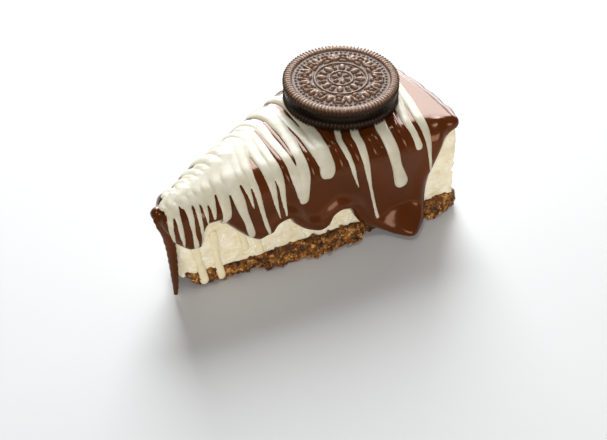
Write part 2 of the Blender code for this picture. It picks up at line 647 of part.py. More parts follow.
def main():
    clear_scene()
    build_crust(material("baked_crumb_crust", (0.42, 0.17, 0.03), 0.85))
    build_filling(material("cream_cheese_filling", (0.87, 0.82, 0.62), 0.55))
    build_topping(material("milk_chocolate_glaze", (0.13, 0.035, 0.012), 0.2))
    cream = material("biscuit_cream", (0.86, 0.83, 0.76), 0.6)
    build_biscuit(material("cocoa_wafer", (0.045, 0.022, 0.014), 0.6), cream)
    centre_on_origin()


main()
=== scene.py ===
"""The looks of a slice of cookies and cream cheesecake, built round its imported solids.

Plan sizes are measured in the cake's own plan: the whole cake's centre is at X = Y = 0 and the
slice's middle line runs along +X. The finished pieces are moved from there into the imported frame.
Metres, +Z up, with the slice standing on Z = 0.
"""
import math

import bmesh
import bpy
import numpy as np
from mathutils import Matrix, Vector, kdtree, noise


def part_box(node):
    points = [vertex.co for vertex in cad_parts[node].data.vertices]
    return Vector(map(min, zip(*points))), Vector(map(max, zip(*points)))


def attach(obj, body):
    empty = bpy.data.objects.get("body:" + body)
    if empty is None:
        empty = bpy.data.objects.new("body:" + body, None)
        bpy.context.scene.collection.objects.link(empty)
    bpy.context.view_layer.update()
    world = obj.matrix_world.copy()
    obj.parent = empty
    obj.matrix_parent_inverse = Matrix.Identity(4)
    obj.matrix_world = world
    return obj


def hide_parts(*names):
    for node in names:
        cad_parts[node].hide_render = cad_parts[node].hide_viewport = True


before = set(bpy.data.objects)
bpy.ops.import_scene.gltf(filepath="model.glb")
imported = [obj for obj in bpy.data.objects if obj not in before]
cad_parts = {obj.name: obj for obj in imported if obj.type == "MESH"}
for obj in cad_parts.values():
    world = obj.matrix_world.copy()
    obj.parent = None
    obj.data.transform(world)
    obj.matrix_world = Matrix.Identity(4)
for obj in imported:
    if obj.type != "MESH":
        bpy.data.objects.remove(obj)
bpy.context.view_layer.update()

MM = 0.001

# The cut of the cake
CAKE_RADIUS = 140.2 * MM
HALF_ANGLE = math.radians(15.0)
TIP_AT_TOP = 17.2 * MM
TIP_AT_BASE = 26.8 * MM
LEAN_ENDS_AT = 52.0 * MM
TIP_SOFTNESS = 3.1 * MM
CORNER_SOFTNESS = 1.0 * MM
FAR_CORNER_SOFTNESS = 3.2 * MM
INSET_SOFTNESS = 2.2 * MM
FILLING_TOP = 42.2 * MM
CRUST_HEIGHT = 9.0 * MM
NEAR_SHOULDER = 6.9 * MM
FAR_SHOULDER = 9.5 * MM
OUTER_SHOULDER = 2.6 * MM
FAR_CORNER_SHOULDER = 4.2 * MM
# The outer wall's share of a shoulder, the far side's growth past the tip, and what a narrow tip allows
RIM_SPAN = (CAKE_RADIUS - 9 * MM, CAKE_RADIUS - 2.5 * MM)
FAR_GROWTH_SPAN = 14 * MM
SHOULDER_SHARE_AT_TIP = 0.66
FULL_SHARE_SPAN = (17.3 * MM, 22 * MM)
# How the top droops towards the tip and falls away at its nose
TIP_DROOP = 3.8 * MM
DROOP_SPAN = (12 * MM, 64 * MM)
NOSE_DROOP = 2.0 * MM
NOSE_SPAN = (13.5 * MM, 22.5 * MM)
# Where the plan's rounding changes from the tip's to the corners', and how soon the far corner's begins
TIP_ROUNDING_ENDS = (60.0 * MM, 90.0 * MM)
FAR_ROUNDING_SPAN = 20.0 * MM
GAP = 0.35 * MM
# The knife drew the filling's cut face down over the crust's upper edge
CREAM_FOOT = 7.4 * MM
# Cream spilled over the crust at the very tip: how far down, how far out and over which distances
SPILL = 3.4 * MM
SPILL_OUT = 0.7 * MM
SPILL_SPAN = (18.5 * MM, 17.5 * MM)
# How far the crust's foot is worn away at the tip, and over which distances
TIP_WORN = 3.2 * MM
TIP_WORN_SPAN = (20.5 * MM, 17.5 * MM)

# Glaze
GLAZE_THICKNESS = 2.0 * MM
GLAZE_EDGE = 2.2 * MM
GLAZE_LIP = 1.2 * MM
FLOW_WAVES, FLOW_WAVE_SIZE = 0.16 * MM, 8.0 * MM
# Lumps along the outer rim: their height, and how many waves they make in a radian round the cake
RIM_LUMPS = 1.3 * MM
RIM_LUMP_WAVES = (83, 151)
CORNER_THINNING = 1.6 * MM
# Pool of glaze at the near side's foot
POOL_AT = 116.4 * MM
POOL_HALF_WIDTH = 6.8 * MM
POOL_REACH = 8.4 * MM
POOL_LEVELS = (3.5 * MM, 13.0 * MM)
POOL_FOLDS, POOL_FOLD_SIZE = 0.9 * MM, 7.0 * MM
# Thinner glaze at the nose, and over which distances on the near and on the far side
NOSE_THINNING = 1.6 * MM
NEAR_NOSE_SPAN = (19.2 * MM, 17.4 * MM)
FAR_NOSE_SPAN = (27.0 * MM, 19.0 * MM)
# Drop of glaze that hangs on the tip: how far out, how far down, how far round to the far side, how wide
NOSE_DROP = 3.2 * MM
NOSE_DROP_RUN = 3.0 * MM
NOSE_DROP_ASIDE = 0.6 * MM
NOSE_DROP_WIDTH = 3.4 * MM
# Upper border of the thicker glaze that sagged down the near side: distance and height in mm
PAD_TOP = ((62, 35), (64.4, 33.7), (71.1, 26.9), (75.6, 22.1), (79.4, 22.1), (83.7, 25.7), (86.9, 27.7),
           (96, 22))
PAD_HEIGHT = 0.9 * MM
PAD_STARTS, PAD_ENDS = (61.0 * MM, 66.0 * MM), (96.0 * MM, 90.0 * MM)

# Height of the glaze's lower edge: on the sides against distance from the cake's centre, on the
# outer wall against the angle round the cake, in mm and degrees
NEAR_EDGE = ((18.7, 35), (20.6, 31), (22.3, 27), (24, 24.5), (27.4, 21.5), (31.4, 21.3), (33.2, 28),
             (35.3, 31.4), (39.4, 31.2), (43, 27), (47.3, 22), (52.3, 17.2), (54.6, 16), (57.6, 16.7),
             (60.6, 17.3), (63.4, 21), (66, 22.3), (69.5, 18.3), (72.5, 15.3), (75.7, 13.2), (80, 11.6),
             (84.1, 13.2), (86.4, 17.4), (88.8, 18.4), (91.2, 17.9), (93.9, 15.4), (95.6, 12),
             (98, 8.2), (101, 5.2), (104.5, 3.2), (107.5, 1.4), (110, 0.5), (125, 0.5), (126.2, 8),
             (127, 20), (129.4, 25.6), (132.2, 32), (134.8, 37.2), (138.2, 39.6), (141, 40.2))
FAR_EDGE = ((18.7, 35), (20.2, 35.6), (23, 34), (27, 29), (34, 20), (39, 28), (45, 33), (52, 29), (57, 18),
            (62, 14), (67, 23), (74, 31), (82, 32), (88, 25), (93, 11), (98, 9), (103, 20), (110, 31),
            (118, 28), (123, 22), (128, 30), (134, 35), (141, 36.5))
OUTER_EDGE = ((-15, 40.2), (-11.6, 38), (-8, 31), (-4.8, 36.5), (-1, 38), (3, 35), (6.2, 28.5),
              (9.4, 36), (12.4, 36.5), (15, 36.5))

# White strands across the slice, from the far side over the top and down the near side, in mm: place
# and run down on the far side, X at the middle line, place at the near edge, place and height of the
# end, and widths on the top, at the near shoulder, down the wall and at the end
TIP_STRANDS = (
    (24.8, 4, 21.6, 20.1, 19.7, 27.0, 3.6, 2.8, 2.2, 1.4),
    (27.4, 6, 24.8, 22.4, 21.4, 24.5, 3.8, 2.8, 2.3, 1.2),
    (31.5, 5, 28.4, 25.7, 25.2, 38.2, 4.6, 2.8, 1.8, 0.9),
    (34.0, 9, 30.8, 27.3, 25.0, 21.6, 4.6, 3.0, 1.9, 2.9),
    (37.0, 7, 33.8, 30.7, 28.2, 22.6, 4.6, 2.5, 1.8, 1.0),
    (40.5, 11, 37.2, 33.7, 32.2, 30.6, 4.8, 2.8, 2.0, 1.1),
    (44.0, 7, 40.6, 36.9, 35.2, 31.9, 5.2, 3.6, 2.2, 1.3),
    (48.5, 13, 45.2, 41.5, 40.1, 28.2, 6.0, 4.6, 3.9, 3.6),
    (53.4, 8, 50.0, 46.2, 51.5, 19.6, 6.2, 5.2, 3.6, 2.8),
    (57.0, 15, 53.8, 50.4, 52.5, 32.6, 4.6, 3.2, 2.0, 0.9),
    (60.0, 7, 57.0, 53.8, 58.4, 18.6, 5.2, 3.0, 2.1, 2.0),
    (65.0, 12, 62.4, 60.0, 62.8, 24.8, 4.2, 3.6, 2.5, 1.0),
    (69.0, 8, 66.6, 63.9, 65.3, 24.2, 4.2, 4.0, 2.4, 1.0),
    (73.6, 16, 71.4, 69.6, 72.2, 30.0, 4.8, 4.6, 4.0, 2.6),
    (81.0, 9, 78.6, 74.2, 72.9, 27.6, 5.4, 5.2, 4.4, 4.2),
)
RIM_STRANDS = (
    (84.4, 16, 82.8, 81.2, 82.4, 37.4, 4.0, 4.0, 3.6, 1.2),
    (92.6, 9, 88.2, 84.4, 82.7, 36.1, 4.6, 5.2, 6.6, 7.2),
    (101.0, 13, 99.5, 92.2, 96.2, 27.0, 2.4, 2.6, 2.0, 0.8),
    (108.0, 8, 106.5, 98.9, 104.7, 9.2, 2.8, 3.8, 1.4, 1.7),
    (118.0, 16, 117.2, 110.2, 115.4, 21.2, 4.4, 4.8, 4.4, 6.0),
    (132.6, 9, 129.0, 120.7, 122.3, 36.2, 5.0, 3.2, 3.0, 3.3),
    (137.0, 7, 132.4, 126.1, 127.2, 23.2, 5.0, 3.6, 1.8, 0.9),
)
# Chocolate ridges that flowed down between the strands, as rows of the same kind
RIDGES = (
    (70.4, 0, 68.6, 66.9, 68.4, 34.0, 2.4, 3.0, 2.0, 1.4),
    (76.0, 0, 74.4, 71.9, 70.2, 38.5, 2.6, 2.4, 1.8, 1.4),
    (82.0, 0, 80.6, 77.7, 77.9, 36.6, 2.4, 3.0, 2.2, 1.6),
    (91.0, 0, 92.0, 89.4, 89.8, 37.0, 2.8, 3.2, 2.6, 2.0),
    (103.0, 0, 103.0, 95.8, 96.8, 37.6, 2.8, 3.2, 2.6, 2.0),
    (112.0, 0, 112.0, 103.6, 104.4, 38.2, 3.2, 3.6, 2.8, 2.2),
    (114.0, 0, 114.0, 106.4, 107.2, 39.4, 2.6, 2.8, 2.4, 2.0),
    (122.0, 0, 122.0, 116.2, 117.4, 36.4, 3.2, 3.4, 2.8, 2.0),
)
DOLLOP_ANGLES = (8.0, 13.2)
DOLLOP_RUN = 0.8 * MM
DOLLOP_HALF_WIDTH = 3.6 * MM
# Melted cream over the filling and the crust: place and height of both ends, width, and how it bends
MELTS = ((28.4, 24.0, 32.6, 1.4, 3.2, 0.8), (36.8, 26.0, 39.6, 1.2, 3.0, 1.6),
         (47.6, 24.0, 49.8, 11.4, 2.8, 1.0), (54.2, 18.0, 55.8, 7.4, 3.0, 1.0))
# Long drip from the tip to the slice's foot, top to bottom: middle, half width and half thickness in mm
TIP_DRIP = ((17.4, -1.4, 37.8, 1.0, 0.4), (17.1, -1.9, 37.3, 2.0, 0.8), (17.0, -2.6, 36.6, 2.6, 1.0),
            (17.4, -3.5, 35.2, 2.75, 1.05), (17.7, -4.1, 33.2, 2.65, 1.15), (18.3, -4.6, 31.0, 2.35, 1.3),
            (19.0, -5.0, 26.0, 2.05, 1.4), (19.6, -5.2, 18.0, 1.85, 1.3), (19.75, -5.3, 9.5, 1.5, 1.15),
            (19.8, -5.5, 4.5, 1.1, 0.95), (19.4, -5.65, 0.5, 0.75, 0.75))
DRIP_TURN = math.radians(-41.0)
# How far crumbs stand out at the crust's foot on the near side: distance and reach in mm
NEAR_CRUMBS = ((27, 0.3), (50, 0.4), (56, 1.2), (62.5, 3.4), (70, 3.3), (78, 4.6), (84, 4.4), (90, 3.0),
               (98, 4.6), (104, 3.6), (130, 3.8), (135, 2.8), (140, 0.9))
# Crumbs fused to the crust's face, and loose ones on it
CLUMPS = {"Per_Square_Metre": 2.8e5, "Smallest": 0.6 * MM, "Largest": 1.7 * MM, "Seed": 9}
LOOSE_CRUMBS = {"Per_Square_Metre": 7.0e5, "Smallest": 0.2 * MM, "Largest": 0.55 * MM, "Seed": 4}

# Biscuit: its raised circles by their radii in mm, and its rings of motifs as count, radius in mm,
# first angle, tilt, and the motif's half length, half width and height in mm
BISCUIT_AT = (109.4 * MM, 2.6 * MM)
BISCUIT_RADIUS = 22.4 * MM
WAFER_INSET = 0.05 * MM
RIDGE_COUNT = 96
RAISED_CIRCLES = (10.2, 4.6)
LEAF, SMALL_LEAF, BUD = (2.2, 1.0, 0.95), (1.5, 0.72, 0.9), (0.85, 0.85, 0.95)
HALF_SPRAY, HALF_PETAL, ACROSS = math.pi / 12, math.pi / 8, math.pi / 2
ORNAMENT = (
    (60, 17.6, 0.0, 0.0, (0.42, 0.42, 0.5)),
    (12, 14.3, 0.0, 0.0, LEAF),
    (12, 13.3, 0.105, 0.75, SMALL_LEAF),
    (12, 13.3, -0.105, -0.75, SMALL_LEAF),
    (12, 15.4, 0.16, 0.35, SMALL_LEAF),
    (12, 15.4, -0.16, -0.35, SMALL_LEAF),
    (12, 13.9, HALF_SPRAY, 0.0, BUD),
    (12, 11.9, HALF_SPRAY, ACROSS, SMALL_LEAF),
    (12, 15.9, HALF_SPRAY, ACROSS, (0.9, 0.42, 0.6)),
    (8, 7.4, 0.0, 0.0, (2.0, 1.15, 0.95)),
    (8, 7.0, HALF_PETAL, 0.0, (1.0, 0.7, 0.85)),
    (8, 8.7, HALF_PETAL, ACROSS, (0.9, 0.42, 0.7)),
    (6, 2.6, 0.0, 0.0, (1.2, 0.8, 0.9)),
    (1, 0.0, 0.0, 0.0, (1.0, 1.0, 0.9)),
)

# Fineness: samples of the plan, columns along a cut side and round the outer wall, and voxel sizes
OUTLINE_SAMPLES = 1200
FILLING_COLUMNS, FILLING_ROWS = (390, 130), 88
CRUST_COLUMNS, CORE_COLUMNS = (300, 120), (150, 60)
GLAZE_COLUMNS = (290, 110)
CRUST_VOXEL = 0.37 * MM
CHOCOLATE_VOXEL = 0.25 * MM
DRIZZLE_VOXEL = 0.28 * MM
FINE_VOXEL = 0.26 * MM
UPPER_WAFER_VOXEL = 0.23 * MM

# Camera, in the cake's plan
EYE = (-224.50 * MM, -359.47 * MM, 402.74 * MM)
TARGET = (84.753 * MM, -3.714 * MM, 0.0)
LENS = 92.28

wafer_low, wafer_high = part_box("biscuit_upper_wafer")
SHIFT = Vector((BISCUIT_AT[0], BISCUIT_AT[1], 0)) - Vector((*((wafer_low + wafer_high) / 2)[:2], 0))


# Nodes and colours
def linear(colour):
    """Linear red, green, blue and alpha of an sRGB hex colour."""
    channels = [int(colour[k:k + 2], 16) / 255 for k in (1, 3, 5)]
    return [c / 12.92 if c <= 0.04045 else ((c + 0.055) / 1.055) ** 2.4 for c in channels] + [1.0]


def give(node, inputs):
    """Gives a node's inputs a value, or a link from a socket or from a node's first output."""
    for key, value in inputs.items():
        if isinstance(value, bpy.types.Node):
            value = value.outputs[0]
        if isinstance(value, bpy.types.NodeSocket):
            node.id_data.links.new(value, node.inputs[key])
        else:
            node.inputs[key].default_value = value


def add_node(tree, kind, inputs=None, **settings):
    """Adds a node, sets its properties, and gives its inputs their values and links."""
    node = tree.nodes.new(kind)
    for name, value in settings.items():
        setattr(node, name, value)
    give(node, inputs or {})
    return node


def surface(name, **shader_inputs):
    """A material with a Principled shader: returns it with its tree and its shader."""
    made = bpy.data.materials.new(name)
    made.use_nodes = True
    shader = made.node_tree.nodes["Principled BSDF"]
    give(shader, {key.replace("_", " "): value for key, value in shader_inputs.items()})
    return made, made.node_tree, shader


def colour_steps(tree, factor, stops):
    """A colour ramp over a factor, from (place, hex colour) stops."""
    steps = add_node(tree, "ShaderNodeValToRGB", {"Fac": factor})
    elements = steps.color_ramp.elements
    while len(elements) < len(stops):
        elements.new(0.5)
    for element, (place, colour) in zip(elements, stops):
        element.position = place
        element.color = linear(colour)
    return steps


# Form of the slice: the same rules as its solids follow
def ramp(start, end, x):
    """Smooth step from 0 at start to 1 at end."""
    t = np.clip((x - start) / (end - start), 0, 1)
    return t * t * (3 - 2 * t)


def level_curve(x, table):
    """Smooth curve through a table of (place, value), level at each high and low."""
    places, values = np.array(table, float).T
    k = np.clip(np.searchsorted(places, x) - 1, 0, len(places) - 2)
    width = np.diff(places)
    slope = np.diff(values) / width
    before, after = slope[:-1], slope[1:]
    same_way = before * after > 0
    total = np.where(same_way, before + after, 1.0)
    tangent = np.concatenate([[0], np.where(same_way, 2 * before * after / total, 0), [0]])
    t = np.clip((x - places[k]) / width[k], 0, 1)
    rise = values[k] + (values[k + 1] - values[k]) * t * t * (3 - 2 * t)
    return rise + width[k] * t * (1 - t) * ((1 - t) * tangent[k] - t * tangent[k + 1])


def bell_average(points, half, reach_in_steps, **ends):
    """Bell-shaped average over a list of points, which is carried on past its ends as ends says."""
    weights = np.exp(-0.5 * (np.arange(-half, half + 1) / reach_in_steps) ** 2)
    weights /= weights.sum()
    padded = np.pad(points, ((half, half), (0, 0)), **ends)
    return np.stack([np.convolve(column, weights, "valid") for column in padded.T], axis=1)


def read_rows(at, places, rows):
    """Rows of a table, read between the places they stand at."""
    return np.stack([np.interp(at, places, column) for column in rows.T], axis=1)


def lengths_along(points):
    """Length travelled up to each point of a line."""
    return np.concatenate([[0], np.cumsum(np.linalg.norm(np.diff(points, axis=0), axis=1))])


def smooth_closed(points, reach):
    """Rounds a closed outline's corners."""
    step = np.linalg.norm(np.roll(points, -1, axis=0) - points, axis=1).mean()
    return bell_average(points, int(3 * reach / step), reach / step, mode="wrap")


def full_outline(tip_x):
    """The slice's plan, from the tip round by the near side, with a soft tip and crisper corners."""
    arc = np.linspace(-HALF_ANGLE, 0, 200)
    path = np.array([(tip_x, 0.0), (tip_x, -tip_x * math.tan(HALF_ANGLE)),
                     *zip(CAKE_RADIUS * np.cos(arc), CAKE_RADIUS * np.sin(arc))])
    lengths = lengths_along(path)
    half = read_rows(np.linspace(0, lengths[-1], OUTLINE_SAMPLES // 2 + 1), lengths, path)
    whole = np.concatenate([half, half[1:-1][::-1] * (1, -1)])
    at_tip = 1 - ramp(*TIP_ROUNDING_ENDS, whole[:, :1])
    at_far = ramp(0, FAR_ROUNDING_SPAN, whole[:, 1:]) * (1 - at_tip)
    return (smooth_closed(whole, TIP_SOFTNESS) * at_tip + smooth_closed(whole, FAR_CORNER_SOFTNESS) * at_far
            + smooth_closed(whole, CORNER_SOFTNESS) * (1 - at_tip - at_far))


def outward(outline):
    """Outward directions at a closed outline's points."""
    ahead = np.roll(outline, -1, axis=0) - np.roll(outline, 1, axis=0)
    ahead /= np.linalg.norm(ahead, axis=1)[:, None]
    return np.stack([ahead[:, 1], -ahead[:, 0]], axis=1)


def lean(x):
    """How far the wall's foot stands in from its top near the tip, against X at its top."""
    return (TIP_AT_BASE - TIP_AT_TOP) * (1 - ramp(TIP_AT_TOP, LEAN_ENDS_AT, x))


TOP_OUTLINE = full_outline(TIP_AT_TOP)
BASE_OUTLINE = TOP_OUTLINE * (1 + lean(TOP_OUTLINE[:, :1]) / TOP_OUTLINE[:, :1])
OUTLINE_NORMALS = outward(TOP_OUTLINE)
OUTLINE_LENGTHS = lengths_along(np.concatenate([TOP_OUTLINE, TOP_OUTLINE[:1]]))


def along_outline(table, u):
    """Reads a table kept at the outline's samples at places u, from 0 at the tip round to 1."""
    at = np.asarray(u, float) % 1.0 * OUTLINE_SAMPLES
    low = np.floor(at).astype(int) % OUTLINE_SAMPLES
    share = (at - np.floor(at))[..., None]
    return table[low] * (1 - share) + table[(low + 1) % OUTLINE_SAMPLES] * share


def at_wall_top(distance, height):
    """The distance at a cut wall's top that lies above a place on the wall, all in mm."""
    x = np.asarray(distance, float) * MM * math.cos(HALF_ANGLE)
    below = 1 - np.clip(np.asarray(height, float) * MM / FILLING_TOP, 0, 1)
    above = x
    for _ in range(12):
        above = x - lean(above) * below
    return above / MM / math.cos(HALF_ANGLE)


def side_place(distance, near=True, height=FILLING_TOP / MM):
    """The place u on a cut side at a distance in mm from the cake's centre, measured at a height."""
    x = at_wall_top(distance, height) * MM * math.cos(HALF_ANGLE)
    half = TOP_OUTLINE[: OUTLINE_SAMPLES // 2, 0]
    u = np.interp(x, half, np.arange(len(half))) / OUTLINE_SAMPLES
    return u if near else 1.0 - u


def wall_table(table):
    """A table of (distance, height) with its distances moved up the wall to its top."""
    return [(float(at_wall_top(distance, height)), height) for distance, height in table]


def centre_distance(u):
    plan = along_outline(TOP_OUTLINE, u)
    return np.hypot(plan[..., 0], plan[..., 1])


def distance_at(u, z):
    """Distance from the cake's centre, in mm, of the wall at a height."""
    plan = along_outline(TOP_OUTLINE, u)
    return centre_distance(u) / MM + lean(plan[..., 0]) * (1 - z / FILLING_TOP) / math.cos(HALF_ANGLE) / MM


def cake_angle(u):
    plan = along_outline(TOP_OUTLINE, u)
    return np.arctan2(plan[..., 1], plan[..., 0])


def on_near(u):
    """1 on the near cut side and its half of the outer wall, 0 beyond."""
    return np.where(np.asarray(u, float) % 1.0 < 0.5, 1.0, 0.0)


def on_rim(u):
    """1 on the outer wall, fading to 0 along the cut sides next to it."""
    return ramp(*RIM_SPAN, centre_distance(u))


def top_level(x):
    """Height of the filling's top, which droops towards the tip and falls away at its nose."""
    nose = NOSE_DROOP * (1 - ramp(*NOSE_SPAN, x))
    return FILLING_TOP - TIP_DROOP * (1 - ramp(*DROOP_SPAN, x)) - nose


def top_height(u):
    return top_level(along_outline(TOP_OUTLINE, u)[..., 0])


def shoulder_radius(u):
    """Radius of the round shoulder between top and wall, which differs from side to side."""
    past_tip = np.clip((centre_distance(u) - TIP_AT_TOP) / FAR_GROWTH_SPAN, 0, 1)
    side = NEAR_SHOULDER + (FAR_SHOULDER - NEAR_SHOULDER) * (1 - on_near(u)) * past_tip
    half_width = along_outline(TOP_OUTLINE, u)[..., 0] * math.tan(HALF_ANGLE)
    far_share = (1 - SHOULDER_SHARE_AT_TIP) * (1 - on_near(u)) * ramp(*FULL_SHARE_SPAN, centre_distance(u))
    limit = (SHOULDER_SHARE_AT_TIP + far_share) * half_width
    side = side - np.log1p(np.exp((side - limit) / MM)) * MM
    far_corner = ramp(0.4 * HALF_ANGLE, HALF_ANGLE, cake_angle(u))
    rim = OUTER_SHOULDER + (FAR_CORNER_SHOULDER - OUTER_SHOULDER) * far_corner
    return side + (rim - side) * on_rim(u)


def shoulder_inset():
    """From the outline to where the flat top starts, smoothed so that it can't fold at the corners."""
    u = np.arange(OUTLINE_SAMPLES) / OUTLINE_SAMPLES
    start = TOP_OUTLINE - OUTLINE_NORMALS * shoulder_radius(u)[:, None]
    return smooth_closed(start, INSET_SOFTNESS) - TOP_OUTLINE


INSET = shoulder_inset()


def skin(u, run, out):
    """Points on the filling's top, shoulder and wall, set off outward by out.

    The run is counted down from where the shoulder starts.
    """
    u, run, out = np.broadcast_arrays(np.asarray(u, float), run, out)
    radius, top = shoulder_radius(u), top_height(u)
    phi = np.clip(run / radius, 0, math.pi / 2)
    z = top - radius * (1 - np.cos(phi)) - np.maximum(run - radius * math.pi / 2, 0)
    share = np.clip(z / top, 0, 1)[..., None]
    plan = along_outline(BASE_OUTLINE, u) * (1 - share) + along_outline(TOP_OUTLINE, u) * share
    plan = plan + along_outline(INSET, u) * (1 - np.sin(phi))[..., None]
    plan = plan + along_outline(OUTLINE_NORMALS, u) * (out * np.sin(phi))[..., None]
    return np.concatenate([plan, (z + out * np.cos(phi))[..., None]], axis=-1)


def skin_normals(u, run):
    return (skin(u, run, MM) - skin(u, run, 0.0)) / MM


def run_to(u, z):
    """The run down the skin that reaches a height."""
    radius, drop = shoulder_radius(u), top_height(u) - z
    on_shoulder = radius * np.arccos(np.clip(1 - drop / radius, 0, 1))
    return on_shoulder + np.maximum(drop - radius, 0)


def edge_run(u):
    """How far the glaze runs down at each place round the slice."""
    distance = centre_distance(u) / MM
    near = level_curve(distance, wall_table(NEAR_EDGE))
    far = level_curve(distance, wall_table(FAR_EDGE))
    side = np.where(on_near(u) > 0.5, near, far)
    outer = level_curve(np.degrees(cake_angle(u)), OUTER_EDGE)
    height = side + (outer - side) * ramp(139.2, 139.9, distance)
    return run_to(u, height * MM)


def ring_columns(side, outer):
    """Places round the slice, the same on both cut sides so that they pair up across it."""
    corner = side_place((CAKE_RADIUS - MM) / MM)
    near = np.linspace(0, corner, side, endpoint=False)
    arc = np.linspace(corner, 1 - corner, outer + 1)
    return np.concatenate([near, arc, 1 - near[1:][::-1]])


def lumps(points, size, seed=0.0):
    """Smooth noise from -1 to 1 at points, with features of about a given size."""
    offset = Vector((seed, seed * 1.7, seed * 0.6))
    return np.array([noise.noise(Vector(p) / size + offset) for p in points])


# Meshes and pieces
def ring_faces(rows, count):
    """Quads between each ring and the next of a stack of closed rings."""
    row, k = np.meshgrid(np.arange(rows - 1), np.arange(count), indexing="ij")
    here, after = row * count + k, row * count + (k + 1) % count
    return np.stack([here, after, after + count, here + count], -1).reshape(-1, 4).tolist()


def cap_faces(first, count):
    """Faces that close a ring by joining each near column to the far one across from it."""
    faces = [(first, first + 1, first + count - 1)]
    for k in range(1, count // 2 - 1):
        faces.append((first + k, first + k + 1, first + count - k - 1, first + count - k))
    last = first + count // 2
    return faces + [(last - 1, last, last + 1) if count % 2 == 0 else (last - 1, last, last + 1, last + 2)]


def slice_stack(name, rings):
    """A closed mesh from a stack of rings round the slice."""
    count = len(rings[0])
    faces = ring_faces(len(rings), count) + cap_faces(0, count) + cap_faces((len(rings) - 1) * count, count)
    return mesh_from(name, np.concatenate(rings), faces)


def flat_ended(name, rings):
    """A closed mesh from a stack of rings with flat ends."""
    count, last = len(rings[0]), (len(rings) - 1) * len(rings[0])
    faces = ring_faces(len(rings), count) + [tuple(range(count)), tuple(range(last, last + count))]
    return mesh_from(name, np.concatenate(rings), faces)


def mesh_from(name, points, faces):
    """A closed mesh with its faces outwards, shaded smooth."""
    mesh = bpy.data.meshes.new(name)
    mesh.from_pydata(np.asarray(points).tolist(), [], faces)
    built = bmesh.new()
    built.from_mesh(mesh)
    bmesh.ops.remove_doubles(built, verts=built.verts, dist=1e-7)
    bmesh.ops.recalc_face_normals(built, faces=built.faces)
    built.to_mesh(mesh)
    built.free()
    mesh.shade_smooth()
    return mesh


def baked(obj):
    """The plain mesh that an object's modifiers make."""
    graph = bpy.context.evaluated_depsgraph_get()
    mesh = bpy.data.meshes.new_from_object(obj.evaluated_get(graph), depsgraph=graph)
    obj.modifiers.clear()
    return mesh


def scratch(mesh):
    obj = bpy.data.objects.new(mesh.name + "_work", mesh)
    bpy.context.scene.collection.objects.link(obj)
    return obj


def fused(mesh, voxel, smoothing):
    """Melts overlapping closed shapes into one skin, then smooths it."""
    obj = scratch(mesh)
    remesh = obj.modifiers.new("melt", "REMESH")
    remesh.mode = "VOXEL"
    remesh.voxel_size = voxel
    remesh.use_smooth_shade = True
    smooth = obj.modifiers.new("relax", "SMOOTH")
    smooth.factor = 0.5
    smooth.iterations = smoothing
    made = baked(obj)
    bpy.data.objects.remove(obj)
    made.shade_smooth()
    return made


def joined(name, meshes):
    """One mesh from several."""
    built = bmesh.new()
    for mesh in meshes:
        built.from_mesh(mesh)
    whole = bpy.data.meshes.new(name)
    built.to_mesh(whole)
    built.free()
    return whole


def vectors_of(items, field):
    """One vector for each of a mesh's items, as rows."""
    values = np.empty(len(items) * 3)
    items.foreach_get(field, values)
    return values.reshape(-1, 3)


def move_points(mesh, points):
    mesh.vertices.foreach_set("co", points.ravel())
    mesh.update()


def piece(name, mesh, finish, slot, *stands_for):
    """Moves a mesh from the cake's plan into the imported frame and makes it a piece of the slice."""
    mesh.name = name
    move_points(mesh, vectors_of(mesh.vertices, "co") - np.array(SHIFT))
    mesh.materials.clear()
    mesh.materials.append(finish)
    obj = bpy.data.objects.new(name, mesh)
    bpy.context.scene.collection.objects.link(obj)
    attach(obj, "root")
    if stands_for:
        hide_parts(*stands_for)
    return obj


def node_tree(name, **inputs):
    """A Geometry Nodes tree with named inputs, given by their socket types."""
    tree = bpy.data.node_groups.new(name, "GeometryNodeTree")
    tree.is_modifier = True
    tree.interface.new_socket("Geometry", in_out="INPUT", socket_type="NodeSocketGeometry")
    tree.interface.new_socket("Geometry", in_out="OUTPUT", socket_type="NodeSocketGeometry")
    for label, kind in inputs.items():
        tree.interface.new_socket(label.replace("_", " "), in_out="INPUT", socket_type="NodeSocket" + kind)
    start = tree.nodes.new("NodeGroupInput")
    return tree, start.outputs


def end_tree(tree, geometry, finish):
    """Ends a tree in real geometry that wears its material."""
    real = add_node(tree, "GeometryNodeRealizeInstances", {"Geometry": geometry})
    dressed = add_node(tree, "GeometryNodeSetMaterial", {"Geometry": real, "Material": finish})
    add_node(tree, "NodeGroupOutput", {0: dressed})


def grown(mesh, tree, **values):
    """Runs a tree on a mesh and returns the plain mesh that it makes."""
    obj = scratch(mesh)
    modifier = obj.modifiers.new(tree.name, "NODES")
    modifier.node_group = tree
    for socket in tree.interface.items_tree:
        if socket.in_out == "INPUT" and socket.name.replace(" ", "_") in values:
            modifier[socket.identifier] = values[socket.name.replace(" ", "_")]
    made = baked(obj)
    bpy.data.objects.remove(obj)
    return made


# Finishes
def mottled(name, stops, patches, grain=None, bump=None, **shader_inputs):
    """A finish whose colour drifts in patches, with a bump from a finer grain or from the same patches."""
    made, tree, shader = surface(name, **shader_inputs)
    place = add_node(tree, "ShaderNodeTexCoord").outputs["Object"]
    cloudy = add_node(tree, "ShaderNodeTexNoise", {"Vector": place, **patches})
    give(shader, {"Base Color": colour_steps(tree, cloudy, stops)})
    if bump:
        fine = add_node(tree, "ShaderNodeTexNoise", {"Vector": place, **grain}) if grain else cloudy
        give(shader, {"Normal": add_node(tree, "ShaderNodeBump", {"Height": fine, **bump})})
    return made


